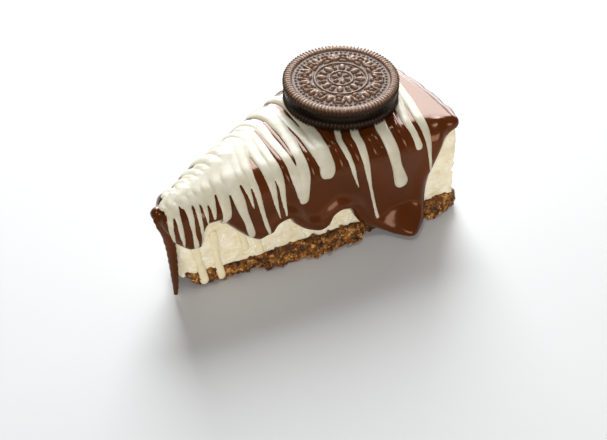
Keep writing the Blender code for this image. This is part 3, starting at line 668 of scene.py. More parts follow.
def milk_chocolate():
    """Milk chocolate glaze, poured and set wet: mid brown with a smooth mirror-like skin."""
    return mottled("milk_chocolate_glaze", ((0.35, "#461F04"), (0.65, "#502307")),
                   patches={"Scale": 1 / (14 * MM), "Detail": 2.0},
                   grain={"Scale": 1 / (3 * MM), "Detail": 1.0},
                   bump={"Strength": 0.25, "Distance": 0.06 * MM},
                   Roughness=0.18, IOR=1.45, Specular_Tint=linear("#FFCDAA"))


def white_icing():
    """Melted white chocolate drizzle: soft gloss, slightly see-through at thin edges."""
    return mottled("white_drizzle", ((0.3, "#BFB69D"), (0.7, "#CEC6B2")),
                   patches={"Scale": 1 / (5 * MM), "Detail": 3.0},
                   bump={"Strength": 0.3, "Distance": 0.1 * MM}, Roughness=0.34, IOR=1.36,
                   Subsurface_Weight=0.35, Subsurface_Scale=1.2 * MM, Subsurface_Radius=(1.0, 0.8, 0.55))


def cream_cheese():
    """Set cream cheese filling, cut with a knife: ivory, matt, with fine pores and drag marks."""
    return mottled("cream_cheese_filling", ((0.3, "#E3D5AF"), (0.55, "#F1E5C8"), (0.75, "#F6EEDA")),
                   patches={"Scale": 1 / (6 * MM), "Detail": 5.0},
                   grain={"Scale": 1 / (0.9 * MM), "Detail": 4.0, "Roughness": 0.65},
                   bump={"Strength": 0.6, "Distance": 0.35 * MM}, Roughness=0.62, IOR=1.4,
                   Subsurface_Weight=0.3, Subsurface_Scale=1.0 * MM, Subsurface_Radius=(1.0, 0.75, 0.45))


def melted_cream():
    """Cream that melted and ran: as ivory as the filling, but smooth, wet and slightly see-through."""
    return mottled("melted_cream", ((0.3, "#E6D6AC"), (0.7, "#EFE2C0")),
                   patches={"Scale": 1 / (4 * MM), "Detail": 3.0}, Roughness=0.3, IOR=1.4,
                   Subsurface_Weight=0.4, Subsurface_Scale=1.2 * MM, Subsurface_Radius=(1.0, 0.8, 0.5))


def biscuit_cream_finish():
    """Vanilla cream of the biscuit: white, dry and slightly chalky."""
    return mottled("biscuit_cream", ((0.3, "#E2DCCB"), (0.7, "#F0ECE0")),
                   patches={"Scale": 1 / (1.2 * MM), "Detail": 4.0},
                   bump={"Strength": 0.4, "Distance": 0.15 * MM}, Roughness=0.6, IOR=1.42,
                   Subsurface_Weight=0.2, Subsurface_Scale=1.0 * MM)


def baked_crumb(name, stops, grain):
    """Baked biscuit crumb bound with butter: rough grains from golden to dark brown, a few of them wet."""
    made, tree, shader = surface(name, IOR=1.38)
    place = add_node(tree, "ShaderNodeTexCoord").outputs["Object"]
    cells = add_node(tree, "ShaderNodeTexVoronoi", {"Vector": place, "Scale": 1 / grain})
    tint = add_node(tree, "ShaderNodeSeparateColor", {"Color": cells.outputs["Color"]})
    patches = add_node(tree, "ShaderNodeTexNoise", {"Vector": place, "Scale": 1 / (3.2 * MM), "Detail": 4.0})
    mixed = add_node(tree, "ShaderNodeMath", {0: tint.outputs["Red"], 1: patches}, operation="MULTIPLY")
    blend = add_node(tree, "ShaderNodeMath", {0: patches, 1: mixed}, operation="ADD")
    level = add_node(tree, "ShaderNodeMath", {0: blend, 1: 0.62}, operation="MULTIPLY")
    wet = add_node(tree, "ShaderNodeMapRange",
                   {"Value": tint.outputs["Green"], "To Min": 0.3, "To Max": 0.9})
    rough = add_node(tree, "ShaderNodeTexNoise", {"Vector": place, "Scale": 1 / (0.5 * MM), "Detail": 3.0})
    bump = add_node(tree, "ShaderNodeBump", {"Height": rough, "Strength": 0.8, "Distance": 0.3 * MM})
    give(shader, {"Base Color": colour_steps(tree, level, stops), "Roughness": wet, "Normal": bump})
    return made


def cocoa_wafer(name, side_colours, crown):
    """Dark cocoa biscuit, pressed and baked dry: near-black brown and matt, with painted light: its raised
    crown is painted paler, as if lit from above, and its recesses and sides darker as painted shade.
    """
    made, tree, shader = surface(name, Roughness=0.46, IOR=1.45, Specular_Tint=linear("#F5CCB0"))
    place = add_node(tree, "ShaderNodeTexCoord").outputs["Object"]
    flour = add_node(tree, "ShaderNodeTexNoise", {"Vector": place, "Scale": 1 / (1.1 * MM), "Detail": 5.0,
                                                  "Roughness": 0.7})
    height = add_node(tree, "ShaderNodeSeparateXYZ", {"Vector": place}).outputs["Z"]
    # Painted light by height: towards the crown the colour turns to the paler crest colours, which stand in
    # for light from above; lower down the darker colours stand in for shade in the recesses and on the
    # sides.
    painted_crown_light = add_node(tree, "ShaderNodeMapRange", {"Value": height, "From Min": crown - 0.85 * MM,
                                                   "From Max": crown - 0.05 * MM})
    # The crest colours are painted highlight colours for the raised top.
    side, crest = (colour_steps(tree, flour, tuple(zip((0.3, 0.55, 0.75), colours)))
                   for colours in (side_colours, ("#5A4231", "#886852", "#B4947C")))
    blend = add_node(tree, "ShaderNodeMix", {0: painted_crown_light, 6: side, 7: crest}, data_type="RGBA")
    bump = add_node(tree, "ShaderNodeBump", {"Height": flour, "Strength": 0.5, "Distance": 0.16 * MM})
    give(shader, {"Base Color": blend.outputs[2], "Normal": bump})
    return made


# Filling
def spill_share(u):
    """1 at the very tip, where cream spilled over the crust, 0 away from it."""
    return ramp(*SPILL_SPAN, centre_distance(u))


def cut_marks(spots):
    """Relief in mm that a knife leaves on set cream: soft folds, level cracks, pores and torn pits."""
    folds = 0.85 * lumps(spots * (1, 1, 0.55), 7.5 * MM, 2.0)
    drag = 0.36 * lumps(spots * (1, 1, 3.0), 4.2 * MM)
    crack_line = lumps(spots * (1, 1, 2.4), 5.5 * MM, 7.0)
    cracks = 0.6 * np.exp(-(crack_line / 0.055) ** 2) * ramp(-0.1, 0.35, lumps(spots, 7 * MM, 11.0))
    pits = 0.5 * ramp(0.32, 0.6, lumps(spots, 2.0 * MM, 9.0))
    return folds + drag - cracks - pits + 0.2 * lumps(spots, 1.2 * MM, 3.0)


def build_filling(finish):
    """The filling: smooth where the glaze covers it, knife marked where it is bare."""
    u = ring_columns(*FILLING_COLUMNS)
    shoulder = shoulder_radius(u) * math.pi / 2
    spill = spill_share(u)
    wall_end = run_to(u, CREAM_FOOT - SPILL * spill)
    covered = edge_run(u)
    rings = [skin(u, shoulder * share, 0.0) for share in (0, 0.35, 0.7, 1)]
    for share in np.linspace(0.02, 1, FILLING_ROWS):
        run = shoulder + (wall_end - shoulder) * share
        bare = ramp(-1 * MM, 1.0 * MM, run - covered)
        spots = skin(u, run, 0.0)
        over_crust = SPILL_OUT * spill * ramp(CREAM_FOOT + 3 * MM, CREAM_FOOT, spots[:, 2])
        rings.append(skin(u, run, (cut_marks(spots) - 0.15) * MM * bare + over_crust))
    piece("filling_cut", slice_stack("filling", rings), finish, "cream_cheese_filling", "filling")


# Crust
def melt_cover(distance, z):
    """1 where melted cream runs over the crust, 0 clear of it."""
    cover = np.zeros_like(distance)
    for start, start_height, end, end_height, width, bend in MELTS:
        share = np.clip((start_height - z / MM) / (start_height - end_height), 0, 1)
        middle = start + (end - start) * share ** bend
        here = 1 - ramp(0.5 * width, 1.0 * width, np.abs(distance - middle))
        cover = np.maximum(cover, here * ramp(end_height - 3, end_height - 1, z / MM))
    return cover


def crust_out(u, z, points):
    """How far the crust's face stands out: its crags and crumbs, its undercut foot and its worn tip."""
    distance = distance_at(u, z)
    near = level_curve(distance, NEAR_CRUMBS) * MM * on_near(u) * (1 - 0.5 * z / CREAM_FOOT)
    covered = 1 - ramp(CRUST_HEIGHT - 4 * MM, CRUST_HEIGHT + 2 * MM, skin(u, edge_run(u), 0.0)[:, 2])
    bare = (1 - covered) * (1 - melt_cover(distance, z) * on_near(u))
    rough = 1.6 * lumps(points * (1, 1, 0.7), 4.2 * MM) + 1.2 * lumps(points, 1.9 * MM, 5.0)
    undercut = 0.5 * MM * ramp(2.6 * MM, 0.4 * MM, z)
    worn = TIP_WORN * ramp(*TIP_WORN_SPAN, centre_distance(u)) * (1 - 0.7 * z / CREAM_FOOT)
    return (near + rough * MM - undercut) * bare - 0.6 * MM * (1 - bare) - worn


def crust_band():
    """The outer band of the crust, whose rough face crumbs are then fused to."""
    u = ring_columns(*CRUST_COLUMNS)
    top = CREAM_FOOT - GAP / 2
    rings = [skin(u, run_to(u, top), -5 * MM)]
    for share in np.linspace(0, 1, 16):
        z = top * (1 - share)
        tuck = 0.7 * (1 - math.sqrt(max(0.0, 1 - (2 * share - 1) ** 6)))
        base = skin(u, run_to(u, z), 0.0)
        ring = skin(u, run_to(u, z), crust_out(u, z, base) - tuck * MM)
        ring[:, 2] += 1.7 * MM * lumps(base, 2.7 * MM, 4.0) * (1 - share) ** 2
        rings.append(ring)
    rings += [skin(u, run_to(u, 0.0), -5 * MM), rings[0]]
    return mesh_from("crust_band", np.concatenate(rings), ring_faces(len(rings), len(u)))


def crust_core():
    """The plain middle of the crust, inside its rough band."""
    u = ring_columns(*CORE_COLUMNS)
    rings = []
    for z in (CREAM_FOOT - GAP, 0.1 * MM):
        rings.append(skin(u, run_to(u, z), -4.4 * MM))
        rings[-1][:, 2] = z
    return slice_stack("crust_core", rings)


def roughened(mesh, size, height, seed):
    """Moves a mesh's points in and out along their normals by smooth noise."""
    points, normals = vectors_of(mesh.vertices, "co"), vectors_of(mesh.vertex_normals, "vector")
    moved = points + normals * (height * lumps(points, size, seed))[:, None]
    moved[:, 2] = np.maximum(moved[:, 2], 0.02 * MM)
    move_points(mesh, moved)
    return mesh


def crumb_tree():
    """Scatters faceted crumbs over the sides of the crust."""
    tree, given = node_tree("crust_crumbs", Per_Square_Metre="Float", Smallest="Float", Largest="Float",
                            Seed="Int", Finish="Material")
    normal = add_node(tree, "GeometryNodeInputNormal")
    split = add_node(tree, "ShaderNodeSeparateXYZ", {"Vector": normal})
    steep = add_node(tree, "ShaderNodeMath", {0: split.outputs["Z"]}, operation="ABSOLUTE")
    side = add_node(tree, "FunctionNodeCompare", {0: steep, 1: 0.85}, operation="LESS_THAN")
    spread = add_node(tree, "GeometryNodeDistributePointsOnFaces",
                      {"Mesh": given["Geometry"], "Selection": side, "Density": given["Per Square Metre"],
                       "Seed": given["Seed"]})
    crumb = add_node(tree, "GeometryNodeMeshIcoSphere", {"Radius": 1.0, "Subdivisions": 1})
    wobble = add_node(tree, "FunctionNodeRandomValue", {"Min": (0.55, 0.55, 0.5), "Max": (1.0, 1.0, 0.9)},
                      data_type="FLOAT_VECTOR")
    size = add_node(tree, "FunctionNodeRandomValue", {2: given["Smallest"], 3: given["Largest"]},
                    data_type="FLOAT")
    scale = add_node(tree, "ShaderNodeVectorMath", {0: wobble, "Scale": size.outputs[1]}, operation="SCALE")
    turn = add_node(tree, "FunctionNodeRandomValue", {"Min": (0, 0, 0), "Max": (math.tau,) * 3},
                    data_type="FLOAT_VECTOR")
    rotation = add_node(tree, "FunctionNodeEulerToRotation", {0: turn})
    placed = add_node(tree, "GeometryNodeInstanceOnPoints",
                      {"Points": spread, "Instance": crumb, "Rotation": rotation, "Scale": scale})
    end_tree(tree, placed, given["Finish"])
    return tree


def dress_crust():
    """The crust: a rough face with clumps melted into it, a plain core, and loose crumbs."""
    stops = ((0.22, "#221105"), (0.42, "#56310F"), (0.6, "#90581A"), (0.76, "#C79145"))
    body_finish = baked_crumb("baked_crumb_crust", stops, 1.15 * MM)
    crumb_stops = ((0.25, "#4A280C"), (0.48, "#A0661F"), (0.7, "#E8BE7C"))
    crumb_finish = baked_crumb("loose_crumb", crumb_stops, 1.1 * MM)
    band, tree = crust_band(), crumb_tree()
    clumps = grown(band.copy(), tree, Finish=body_finish, **CLUMPS)
    trim_crumbs(clumps, -0.5 * MM)
    rough = roughened(fused(joined("crust", [band, clumps]), CRUST_VOXEL, 1), 1.1 * MM, 0.22 * MM, 6.0)
    crumbs = grown(rough.copy(), tree, Finish=crumb_finish, **LOOSE_CRUMBS)
    trim_crumbs(crumbs, 0.02 * MM)
    piece("crust_face", rough, body_finish, "baked_crumb_crust", "crust")
    piece("crust_core", crust_core(), body_finish, "baked_crumb_crust")
    piece("crust_crumbs", crumbs, crumb_finish, "baked_crumb_crust")


def trim_crumbs(mesh, level):
    """Drops crumbs that would reach below a level."""
    built = bmesh.new()
    built.from_mesh(mesh)
    front = [vert for vert in built.verts if vert.co.z < level]
    reached = set(front)
    while front:
        vert = front.pop()
        for edge in vert.link_edges:
            other = edge.other_vert(vert)
            if other not in reached:
                reached.add(other)
                front.append(other)
    bmesh.ops.delete(built, geom=list(reached), context="VERTS")
    built.to_mesh(mesh)
    built.free()


# Glaze
def edge_points():
    """A tree that finds the nearest point of the glaze's lower edge on the unrolled wall."""
    perimeter = OUTLINE_LENGTHS[-1]
    fine = np.linspace(0, 1, 6001)[:-1]
    across, down = unrolled(fine), edge_run(fine)
    edge = []
    for k in range(len(fine) - 1):
        gap = math.hypot(across[k + 1] - across[k], down[k + 1] - down[k])
        shares = np.arange(0, 1, min(1.0, 0.15 * MM / gap))
        edge += [(across[k] + (across[k + 1] - across[k]) * s, down[k] + (down[k + 1] - down[k]) * s)
                 for s in shares]
    wrapped = [(a - perimeter, b) for a, b in edge[-200:]] + [(a + perimeter, b) for a, b in edge[:200]]
    tree = kdtree.KDTree(len(edge) + len(wrapped))
    for number, (a, b) in enumerate(edge + wrapped):
        tree.insert((a, b, 0), number)
    tree.balance()
    return tree


def unrolled(u):
    """Distance round the outline of places u."""
    return np.interp(np.asarray(u) % 1.0 * OUTLINE_SAMPLES, np.arange(OUTLINE_SAMPLES + 1), OUTLINE_LENGTHS)


EDGE_TREE = edge_points()


def from_edge(u, run):
    """Distance over the unrolled wall up to the glaze's lower edge, 0 below it."""
    u, run = np.broadcast_arrays(np.asarray(u, float), run)
    away = np.array([EDGE_TREE.find((a, b, 0))[2] for a, b in zip(unrolled(u), run)])
    return np.where(run < edge_run(u), away, 0.0)


def glaze_out(u, run):
    """Thickness of the glaze: a round edge with a lip, flow waves, lumps at the rim, the pool, the
    sagged pad, and the drop at the nose.
    """
    on_top = 1 - ramp(0, 2.5 * MM, run)
    share = from_edge(u, run) / GLAZE_EDGE + on_top
    round_off = np.sqrt(1 - (1 - np.clip(share, 0, 1)) ** 2)
    distance = centre_distance(u)
    at_nose = np.where(on_near(u) > 0.5, ramp(*NEAR_NOSE_SPAN, distance), ramp(*FAR_NOSE_SPAN, distance))
    lip = GLAZE_LIP * (1 - on_rim(u)) * (1 - on_top) * (1 - at_nose) * np.exp(-((share - 1.5) / 1.2) ** 2)
    wave = FLOW_WAVES * ramp(0, 9 * MM, run) * lumps(skin(u, run, 0.0) * (1, 1, 0.35), FLOW_WAVE_SIZE)
    turn = cake_angle(u)
    inside = ramp(HALF_ANGLE, 0.8 * HALF_ANGLE, np.abs(turn))
    slow, quick = (np.sin(rate * turn) for rate in RIM_LUMP_WAVES)
    bulges = RIM_LUMPS * on_rim(u) * inside * (0.5 + 0.35 * slow + 0.15 * quick)
    bulges = bulges * ramp(0.4 * MM, 4 * MM, run) * np.exp(-run / (6 * MM))
    thin = CORNER_THINNING * on_rim(u) * (1 - inside)
    height = top_height(u) - run + shoulder_radius(u) * (math.pi / 2 - 1)
    beside = np.exp(-((distance - POOL_AT) / POOL_HALF_WIDTH) ** 2) * on_near(u)
    folds = POOL_FOLDS * lumps(skin(u, run, 0.0), POOL_FOLD_SIZE, 6.0)
    pool = (POOL_REACH + folds) * beside * (1 - ramp(*POOL_LEVELS, height))
    along_pad = ramp(*PAD_STARTS, distance) * ramp(*PAD_ENDS, distance) * on_near(u)
    below_top = ramp(0, 5 * MM, level_curve(distance / MM, PAD_TOP) * MM - height)
    relief = lip + wave + bulges + pool + PAD_HEIGHT * along_pad * below_top
    half_round = OUTLINE_LENGTHS[-1] / 2
    round_tip = (unrolled(u) + half_round) % OUTLINE_LENGTHS[-1] - half_round
    aside, below = round_tip + NOSE_DROP_ASIDE, run - NOSE_DROP_RUN
    drop = np.exp(-(aside / NOSE_DROP_WIDTH) ** 2 - (below / NOSE_DROP_WIDTH) ** 2)
    relief = relief + NOSE_DROP * drop - NOSE_THINNING * at_nose - thin * ramp(MM, 5 * MM, run)
    return (GLAZE_THICKNESS + relief) * round_off


def on_glaze(u, run):
    """Points on the glaze's outer face."""
    return skin(u, run, GAP + glaze_out(u, run))


def glaze_mesh():
    """The glaze as a shell: over the top, down to its lower edge, and back up its inner face."""
    u = ring_columns(*GLAZE_COLUMNS)
    length = edge_run(u)
    shoulder = np.minimum(shoulder_radius(u) * math.pi / 2, length * 0.6)
    runs = [shoulder * share for share in np.linspace(0, 1, 15)[:-1]]
    runs += [shoulder + (length - shoulder) * (1 - (1 - share) ** 1.6) for share in np.linspace(0, 1, 66)]
    rings = [on_glaze(u, run) for run in runs]
    rings += [skin(u, run, GAP) for run in (runs[50], runs[30], runs[14], runs[7], runs[0])]
    for ring in rings:
        ring[:, 2] = np.maximum(ring[:, 2], 0.3 * MM)
    points = np.concatenate(rings)
    faces = ring_faces(len(rings), len(u)) + cap_faces((len(rings) - 1) * len(u), len(u))
    top, top_faces = top_patch(rings[0], len(points))
    return mesh_from("glaze", np.concatenate([points, top]), faces + top_faces)


def top_patch(ring, first_new, across=48):
    """Fills the top inside a ring with a fine grid and gives it gentle waves."""
    count = len(ring)
    half = count // 2
    rows = [[k] + [0] * (across - 1) + [count - k] for k in range(1, half)]
    points = []
    for row in rows:
        near, far = ring[row[0]], ring[row[-1]]
        for step in range(1, across):
            row[step] = first_new + len(points)
            points.append(near + (far - near) * step / across)
    points = np.array(points)
    inset = np.concatenate([np.sin(np.pi * np.arange(1, across) / across) for _ in rows])
    points[:, 2] += 0.08 * MM * lumps(points, 16 * MM) * np.clip(inset * 2.5, 0, 1)
    faces = [(0, row, after) for row, after in zip(rows[0], rows[0][1:])]
    faces += [(a[k], b[k], b[k + 1], a[k + 1]) for a, b in zip(rows, rows[1:]) for k in range(across)]
    faces += [(half, after, row) for row, after in zip(rows[-1], rows[-1][1:])]
    return points, faces


def drip_tube():
    """The long drip that hangs from the tip down to the slice's foot, flattened like a ribbon."""
    table = np.array(TIP_DRIP)
    at = np.linspace(0, len(table) - 1, 90)
    smooth = bell_average(read_rows(at, np.arange(len(table)), table), 9, 3.5, mode="edge")
    turn = np.linspace(0, math.tau, 28, endpoint=False)
    across, along = math.cos(DRIP_TURN), math.sin(DRIP_TURN)
    rings = []
    for x, y, z, half_wide, half_thick in smooth:
        knobs = 1 + 0.09 * noise.noise((0, 0, z / 2.1)) + 0.05 * math.sin(z * 1.9)
        wide, thick = half_wide * knobs * np.cos(turn), half_thick * np.sin(turn)
        rings.append(np.stack([x + wide * across - thick * along, y + wide * along + thick * across,
                               np.full(len(turn), z)], 1) * MM)
    return flat_ended("drip", rings)


# Drizzle
def over_the_top(far, near, middle):
    """Points across the top from the far shoulder to the near one, bowed to pass X = middle at Y = 0."""
    share = np.linspace(0, 1, 60)[1:-1]
    crossing = np.clip(far[1] / max(far[1] - near[1], MM), 0.3, 0.7)
    bow = (middle - far[0] - (near[0] - far[0]) * crossing) / (crossing * (1 - crossing))
    x = far[0] + (near[0] - far[0]) * share + bow * share * (1 - share)
    y = far[1] + (near[1] - far[1]) * share
    above_far, above_near = far[2] - top_level(far[0]), near[2] - top_level(near[0])
    return np.stack([x, y, top_level(x) + above_far + (above_near - above_far) * share], 1)


def resting(u, run):
    """How far off the skin a strand lies: on the glaze, and past its edge on the cream's relief."""
    on_cream = (cut_marks(skin(u, run, 0.0)) + 0.1) * MM * ramp(0, MM, run - edge_run(u))
    return np.maximum(GAP + glaze_out(u, run), on_cream)


def strand_line(row):
    """A strand's middle line on the glaze, with the surface's normals and the half widths along it."""
    far, far_run, middle, near, end, end_height, top_wide, shoulder_wide, wall_wide, end_wide = row
    top_wide *= 1.12 + 0.18 * (1 - ramp(50, 64, middle))
    far_u, near_u, end_u = side_place(far, False), side_place(near), side_place(end)
    up_run = np.linspace(far_run * MM, 0, 24)
    up_u = np.full(24, far_u)
    share = np.linspace(0, 1, 60)
    down_run = share * run_to(end_u, end_height * MM)
    down_u = near_u + (end_u - near_u) * np.clip((share - 0.15) / 0.85, 0, 1) ** 1.15
    up = on_glaze(up_u, up_run)
    down = skin(down_u, down_run, resting(down_u, down_run))
    over = over_the_top(up[-1], down[0], middle * MM)
    points = np.concatenate([up, over, down])
    level = np.tile((0.0, 0.0, 1.0), (len(over), 1))
    normals = np.concatenate([skin_normals(up_u, up_run), level, skin_normals(down_u, down_run)])
    travelled = lengths_along(points)
    climb, crest, turn = travelled[[len(up) - 1, len(up) - 1 + len(over) // 2, len(up) + len(over)]]
    wall = travelled[-1] - turn
    places = [0, climb + MM, crest, turn + min(5 * MM, 0.3 * wall), turn + 0.6 * wall, travelled[-1]]
    widths = [0.9 * top_wide, 1.25 * top_wide, top_wide, shoulder_wide, wall_wide, end_wide]
    at = np.linspace(0, travelled[-1], max(12, int(travelled[-1] / (0.5 * MM))) + 1)
    line = bell_average(read_rows(at, travelled, points), 6, 2.4, mode="reflect", reflect_type="odd")
    way = bell_average(read_rows(at, travelled, normals), 6, 2.4, mode="edge")
    half = np.interp(at, places, widths) * MM / 2
    half = half * (1 + 0.12 * lumps(line, 7 * MM, near))
    return line, way, half * round_ends(at, half[0], 1.25 * half[-1])


def rim_dollop():
    """White that gathered at the rim's far end: its middle line, normals and half widths."""
    round_rim = np.linspace(0.3, 0.7, 900)
    first, last = DOLLOP_ANGLES
    angles = np.linspace(math.radians(first), math.radians(last), 40)
    u = np.interp(angles, cake_angle(round_rim), round_rim)
    run = np.full(40, DOLLOP_RUN)
    half = DOLLOP_HALF_WIDTH * round_ends(np.linspace(0, 12, 40), 3.0, 3.0)
    return on_glaze(u, run), skin_normals(u, run), half


def round_ends(at, first, last):
    """Share of the full width along a line, falling to a round point at both ends."""
    start = np.clip((at + 0.15 * first) / first, 0, 1)
    end = np.clip((at[-1] - at + 0.15 * last) / last, 0, 1)
    return np.sqrt(1 - (1 - start) ** 2) * np.sqrt(1 - (1 - end) ** 2)


def melt_line(row):
    """Melted cream's middle line over the filling and the crust, with normals and half widths."""
    start, start_height, end, end_height, width, bend = row
    share = np.linspace(0, 1, 70)
    height = start_height + (end_height - start_height) * share
    places = side_place(start + (end - start) * share ** bend, True, height)
    runs = run_to(places, height * MM)
    half = width * MM / 2 * (1 + 0.15 * np.sin(share * 9)) * round_ends(share * 20, 1.6, 1.6)
    return skin(places, runs, 0.05 * MM), skin_normals(places, runs), half


def line_mesh(name, lines):
    """Loose chains of points that carry their lift and half width, for the strand tree."""
    points = np.concatenate([line for line, _, _ in lines])
    edges, first = [], 0
    for line, _, _ in lines:
        edges += [(first + k, first + k + 1) for k in range(len(line) - 1)]
        first += len(line)
    mesh = bpy.data.meshes.new(name)
    mesh.from_pydata(points.tolist(), edges, [])
    lift = mesh.attributes.new("lift", "FLOAT_VECTOR", "POINT")
    lift.data.foreach_set("vector", np.concatenate([way for _, way, _ in lines]).ravel())
    half = mesh.attributes.new("half_width", "FLOAT", "POINT")
    half.data.foreach_set("value", np.concatenate([width for _, _, width in lines]))
    return mesh


def strand_tree():
    """Sweeps a low rounded section along chains of points."""
    tree, given = node_tree("poured_strands", Height_Share="Float", Sides="Int", Finish="Material")
    curve = add_node(tree, "GeometryNodeMeshToCurve", {"Mesh": given["Geometry"]})
    lift = add_node(tree, "GeometryNodeInputNamedAttribute", {"Name": "lift"}, data_type="FLOAT_VECTOR")
    half = add_node(tree, "GeometryNodeInputNamedAttribute", {"Name": "half_width"}, data_type="FLOAT")
    aimed = add_node(tree, "GeometryNodeSetCurveNormal", {"Curve": curve}, mode="FREE")
    give(aimed, {"Normal": lift.outputs["Attribute"]})
    section = add_node(tree, "GeometryNodeCurvePrimitiveCircle",
                       {"Resolution": given["Sides"], "Radius": 1.0})
    flat = add_node(tree, "ShaderNodeCombineXYZ", {"X": given["Height Share"], "Y": 1.0, "Z": 1.0})
    squat = add_node(tree, "GeometryNodeTransform", {"Geometry": section, "Scale": flat})
    swept = add_node(tree, "GeometryNodeCurveToMesh",
                     {"Curve": aimed, "Profile Curve": squat, "Scale": half.outputs["Attribute"],
                      "Fill Caps": True})
    end_tree(tree, swept, given["Finish"])
    return tree


def press_under_biscuit(mesh):
    """Keeps what runs under the biscuit below its lower wafer."""
    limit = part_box("biscuit_lower_wafer")[0].z - 0.1 * MM
    points = vectors_of(mesh.vertices, "co")
    reach = np.hypot(points[:, 0] - BISCUIT_AT[0], points[:, 1] - BISCUIT_AT[1])
    points[:, 2] = np.where(reach < BISCUIT_RADIUS, np.minimum(points[:, 2], limit), points[:, 2])
    move_points(mesh, points)


def dress_topping():
    """The glaze with its long drip and ridges, the white drizzle, and the melted cream."""
    chocolate, white, tree = milk_chocolate(), white_icing(), strand_tree()

    def poured(name, lines, finish, share, voxel, slot, smoothing=4):
        swept = grown(line_mesh(name, lines), tree, Finish=finish, Height_Share=share, Sides=20)
        mesh = fused(swept, voxel, smoothing)
        press_under_biscuit(mesh)
        piece(name, mesh, finish, slot)

    near_tip, near_rim, ridges = ([strand_line(row) for row in rows]
                                  for rows in (TIP_STRANDS, RIM_STRANDS, RIDGES))
    melts = [melt_line(row) for row in MELTS]
    piece("chocolate_glaze", glaze_mesh(), chocolate, "milk_chocolate_glaze", "topping")
    piece("tip_drip", fused(drip_tube(), CHOCOLATE_VOXEL, 3), chocolate, "milk_chocolate_glaze")
    poured("drizzle_near_tip", near_tip, white, 0.3, DRIZZLE_VOXEL, "white_drizzle", smoothing=7)
    poured("drizzle_near_rim", near_rim + [rim_dollop()], white, 0.36, DRIZZLE_VOXEL, "white_drizzle")
    poured("chocolate_ridges", ridges, chocolate, 0.5, CHOCOLATE_VOXEL, "milk_chocolate_glaze")
    poured("melted_cream", melts, melted_cream(), 0.4, FINE_VOXEL, "white_drizzle")


# Biscuit
def oval(half_x, half_y, height, sides):
    """A level ring of points round the vertical axis, from sizes in mm."""
    turn = np.linspace(0, math.tau, sides, endpoint=False)
    return np.stack([half_x * np.cos(turn), half_y * np.sin(turn), np.full(sides, float(height))], 1) * MM


def turned(name, profile):
    """A solid turned round the vertical axis from a profile of (radius, height) in mm."""
    return flat_ended(name, [oval(radius, radius, height, 192) for radius, height in profile])


def motif(name, long, wide, tall, sides=12):
    """A domed lozenge or bead that lies along X on a sunk foot, in mm."""
    rings = [oval(long, wide, -0.4, sides)]
    for rise in np.linspace(0, 1, 4):
        share = 1 - 0.75 * rise ** 2
        rings.append(oval(long * share, wide * share, tall * rise ** 0.6, sides))
    return flat_ended(name, rings)


def ring_tree():
    """Repeats a motif round a circle, turned to face outwards."""
    tree, given = node_tree("ring_of_motifs", Count="Int", Radius="Float", Start_Angle="Float",
                            Level="Float", Tilt="Float", Finish="Material")
    circle = add_node(tree, "GeometryNodeMeshCircle",
                      {"Vertices": given["Count"], "Radius": given["Radius"]})
    place = add_node(tree, "GeometryNodeInputPosition")
    split = add_node(tree, "ShaderNodeSeparateXYZ", {"Vector": place})
    turn = add_node(tree, "ShaderNodeMath", {0: split.outputs["Y"], 1: split}, operation="ARCTAN2")
    leaning = add_node(tree, "ShaderNodeMath", {0: turn, 1: given["Tilt"]}, operation="ADD")
    euler = add_node(tree, "ShaderNodeCombineXYZ", {"Z": leaning})
    rotation = add_node(tree, "FunctionNodeEulerToRotation", {0: euler})
    placed = add_node(tree, "GeometryNodeInstanceOnPoints",
                      {"Points": circle, "Instance": given["Geometry"], "Rotation": rotation})
    start = add_node(tree, "ShaderNodeCombineXYZ", {"Z": given["Start Angle"]})
    raised = add_node(tree, "ShaderNodeCombineXYZ", {"Z": given["Level"]})
    moved = add_node(tree, "GeometryNodeTransform", {"Geometry": placed, "Rotation": start,
                                                     "Translation": raised})
    end_tree(tree, moved, given["Finish"])
    return tree


def wafer_mesh(name, tree, finish, thickness, ornament):
    """A pressed wafer: a turned body with ridges round its rim and rings of motifs on its field."""
    def ring_of(shape, count, radius, level, start=0.0, tilt=0.0):
        return grown(shape, tree, Count=count, Radius=radius * MM, Level=level * MM, Start_Angle=start,
                     Tilt=tilt, Finish=finish)

    rim, field = (BISCUIT_RADIUS - WAFER_INSET) / MM, thickness - 0.75
    body = ((0.5, 0.0), (rim - 1.6, 0.0), (rim - 0.5, 0.25), (rim - 0.1, 0.9), (rim, thickness * 0.5),
            (rim - 0.25, thickness - 0.7), (rim - 1.1, thickness - 0.25), (rim - 2.4, thickness - 0.2),
            (rim - 3.0, thickness - 0.45), (rim - 3.3, field), *raised_lines(field), (0.5, field))
    parts = [turned(name, body),
             ring_of(motif("ridge", 1.75, 0.36, 0.42, 8), RIDGE_COUNT, rim - 1.6, thickness - 0.35),
             ring_of(upright_ridge(thickness), RIDGE_COUNT, rim - 0.1, 0.0)]
    for count, radius, start, tilt, shape in ornament:
        parts.append(ring_of(motif("motif", *shape), count, radius, field, start, tilt))
    return joined(name, parts)


def raised_lines(field):
    """Profile points of the raised circles on a wafer's field, from the outside in."""
    return [(radius + step, field + rise) for radius in RAISED_CIRCLES
            for step, rise in ((0.55, 0.0), (0.25, 0.5), (-0.25, 0.5), (-0.55, 0.0))]


def upright_ridge(height):
    """One upright ridge of the rim's side."""
    rows = ((0.35, 0.25), (0.7, 0.36), (height - 0.9, 0.36), (height - 0.35, 0.28))
    return flat_ended("upright", [oval(0.42, half, z, 8) for z, half in rows])


def place_biscuit(mesh, level, flip=False):
    """Lifts a biscuit part into place over the slice, upside down where asked."""
    for vert in mesh.vertices:
        if flip:
            vert.co.y, vert.co.z = -vert.co.y, -vert.co.z
        vert.co += Vector((*BISCUIT_AT, level))


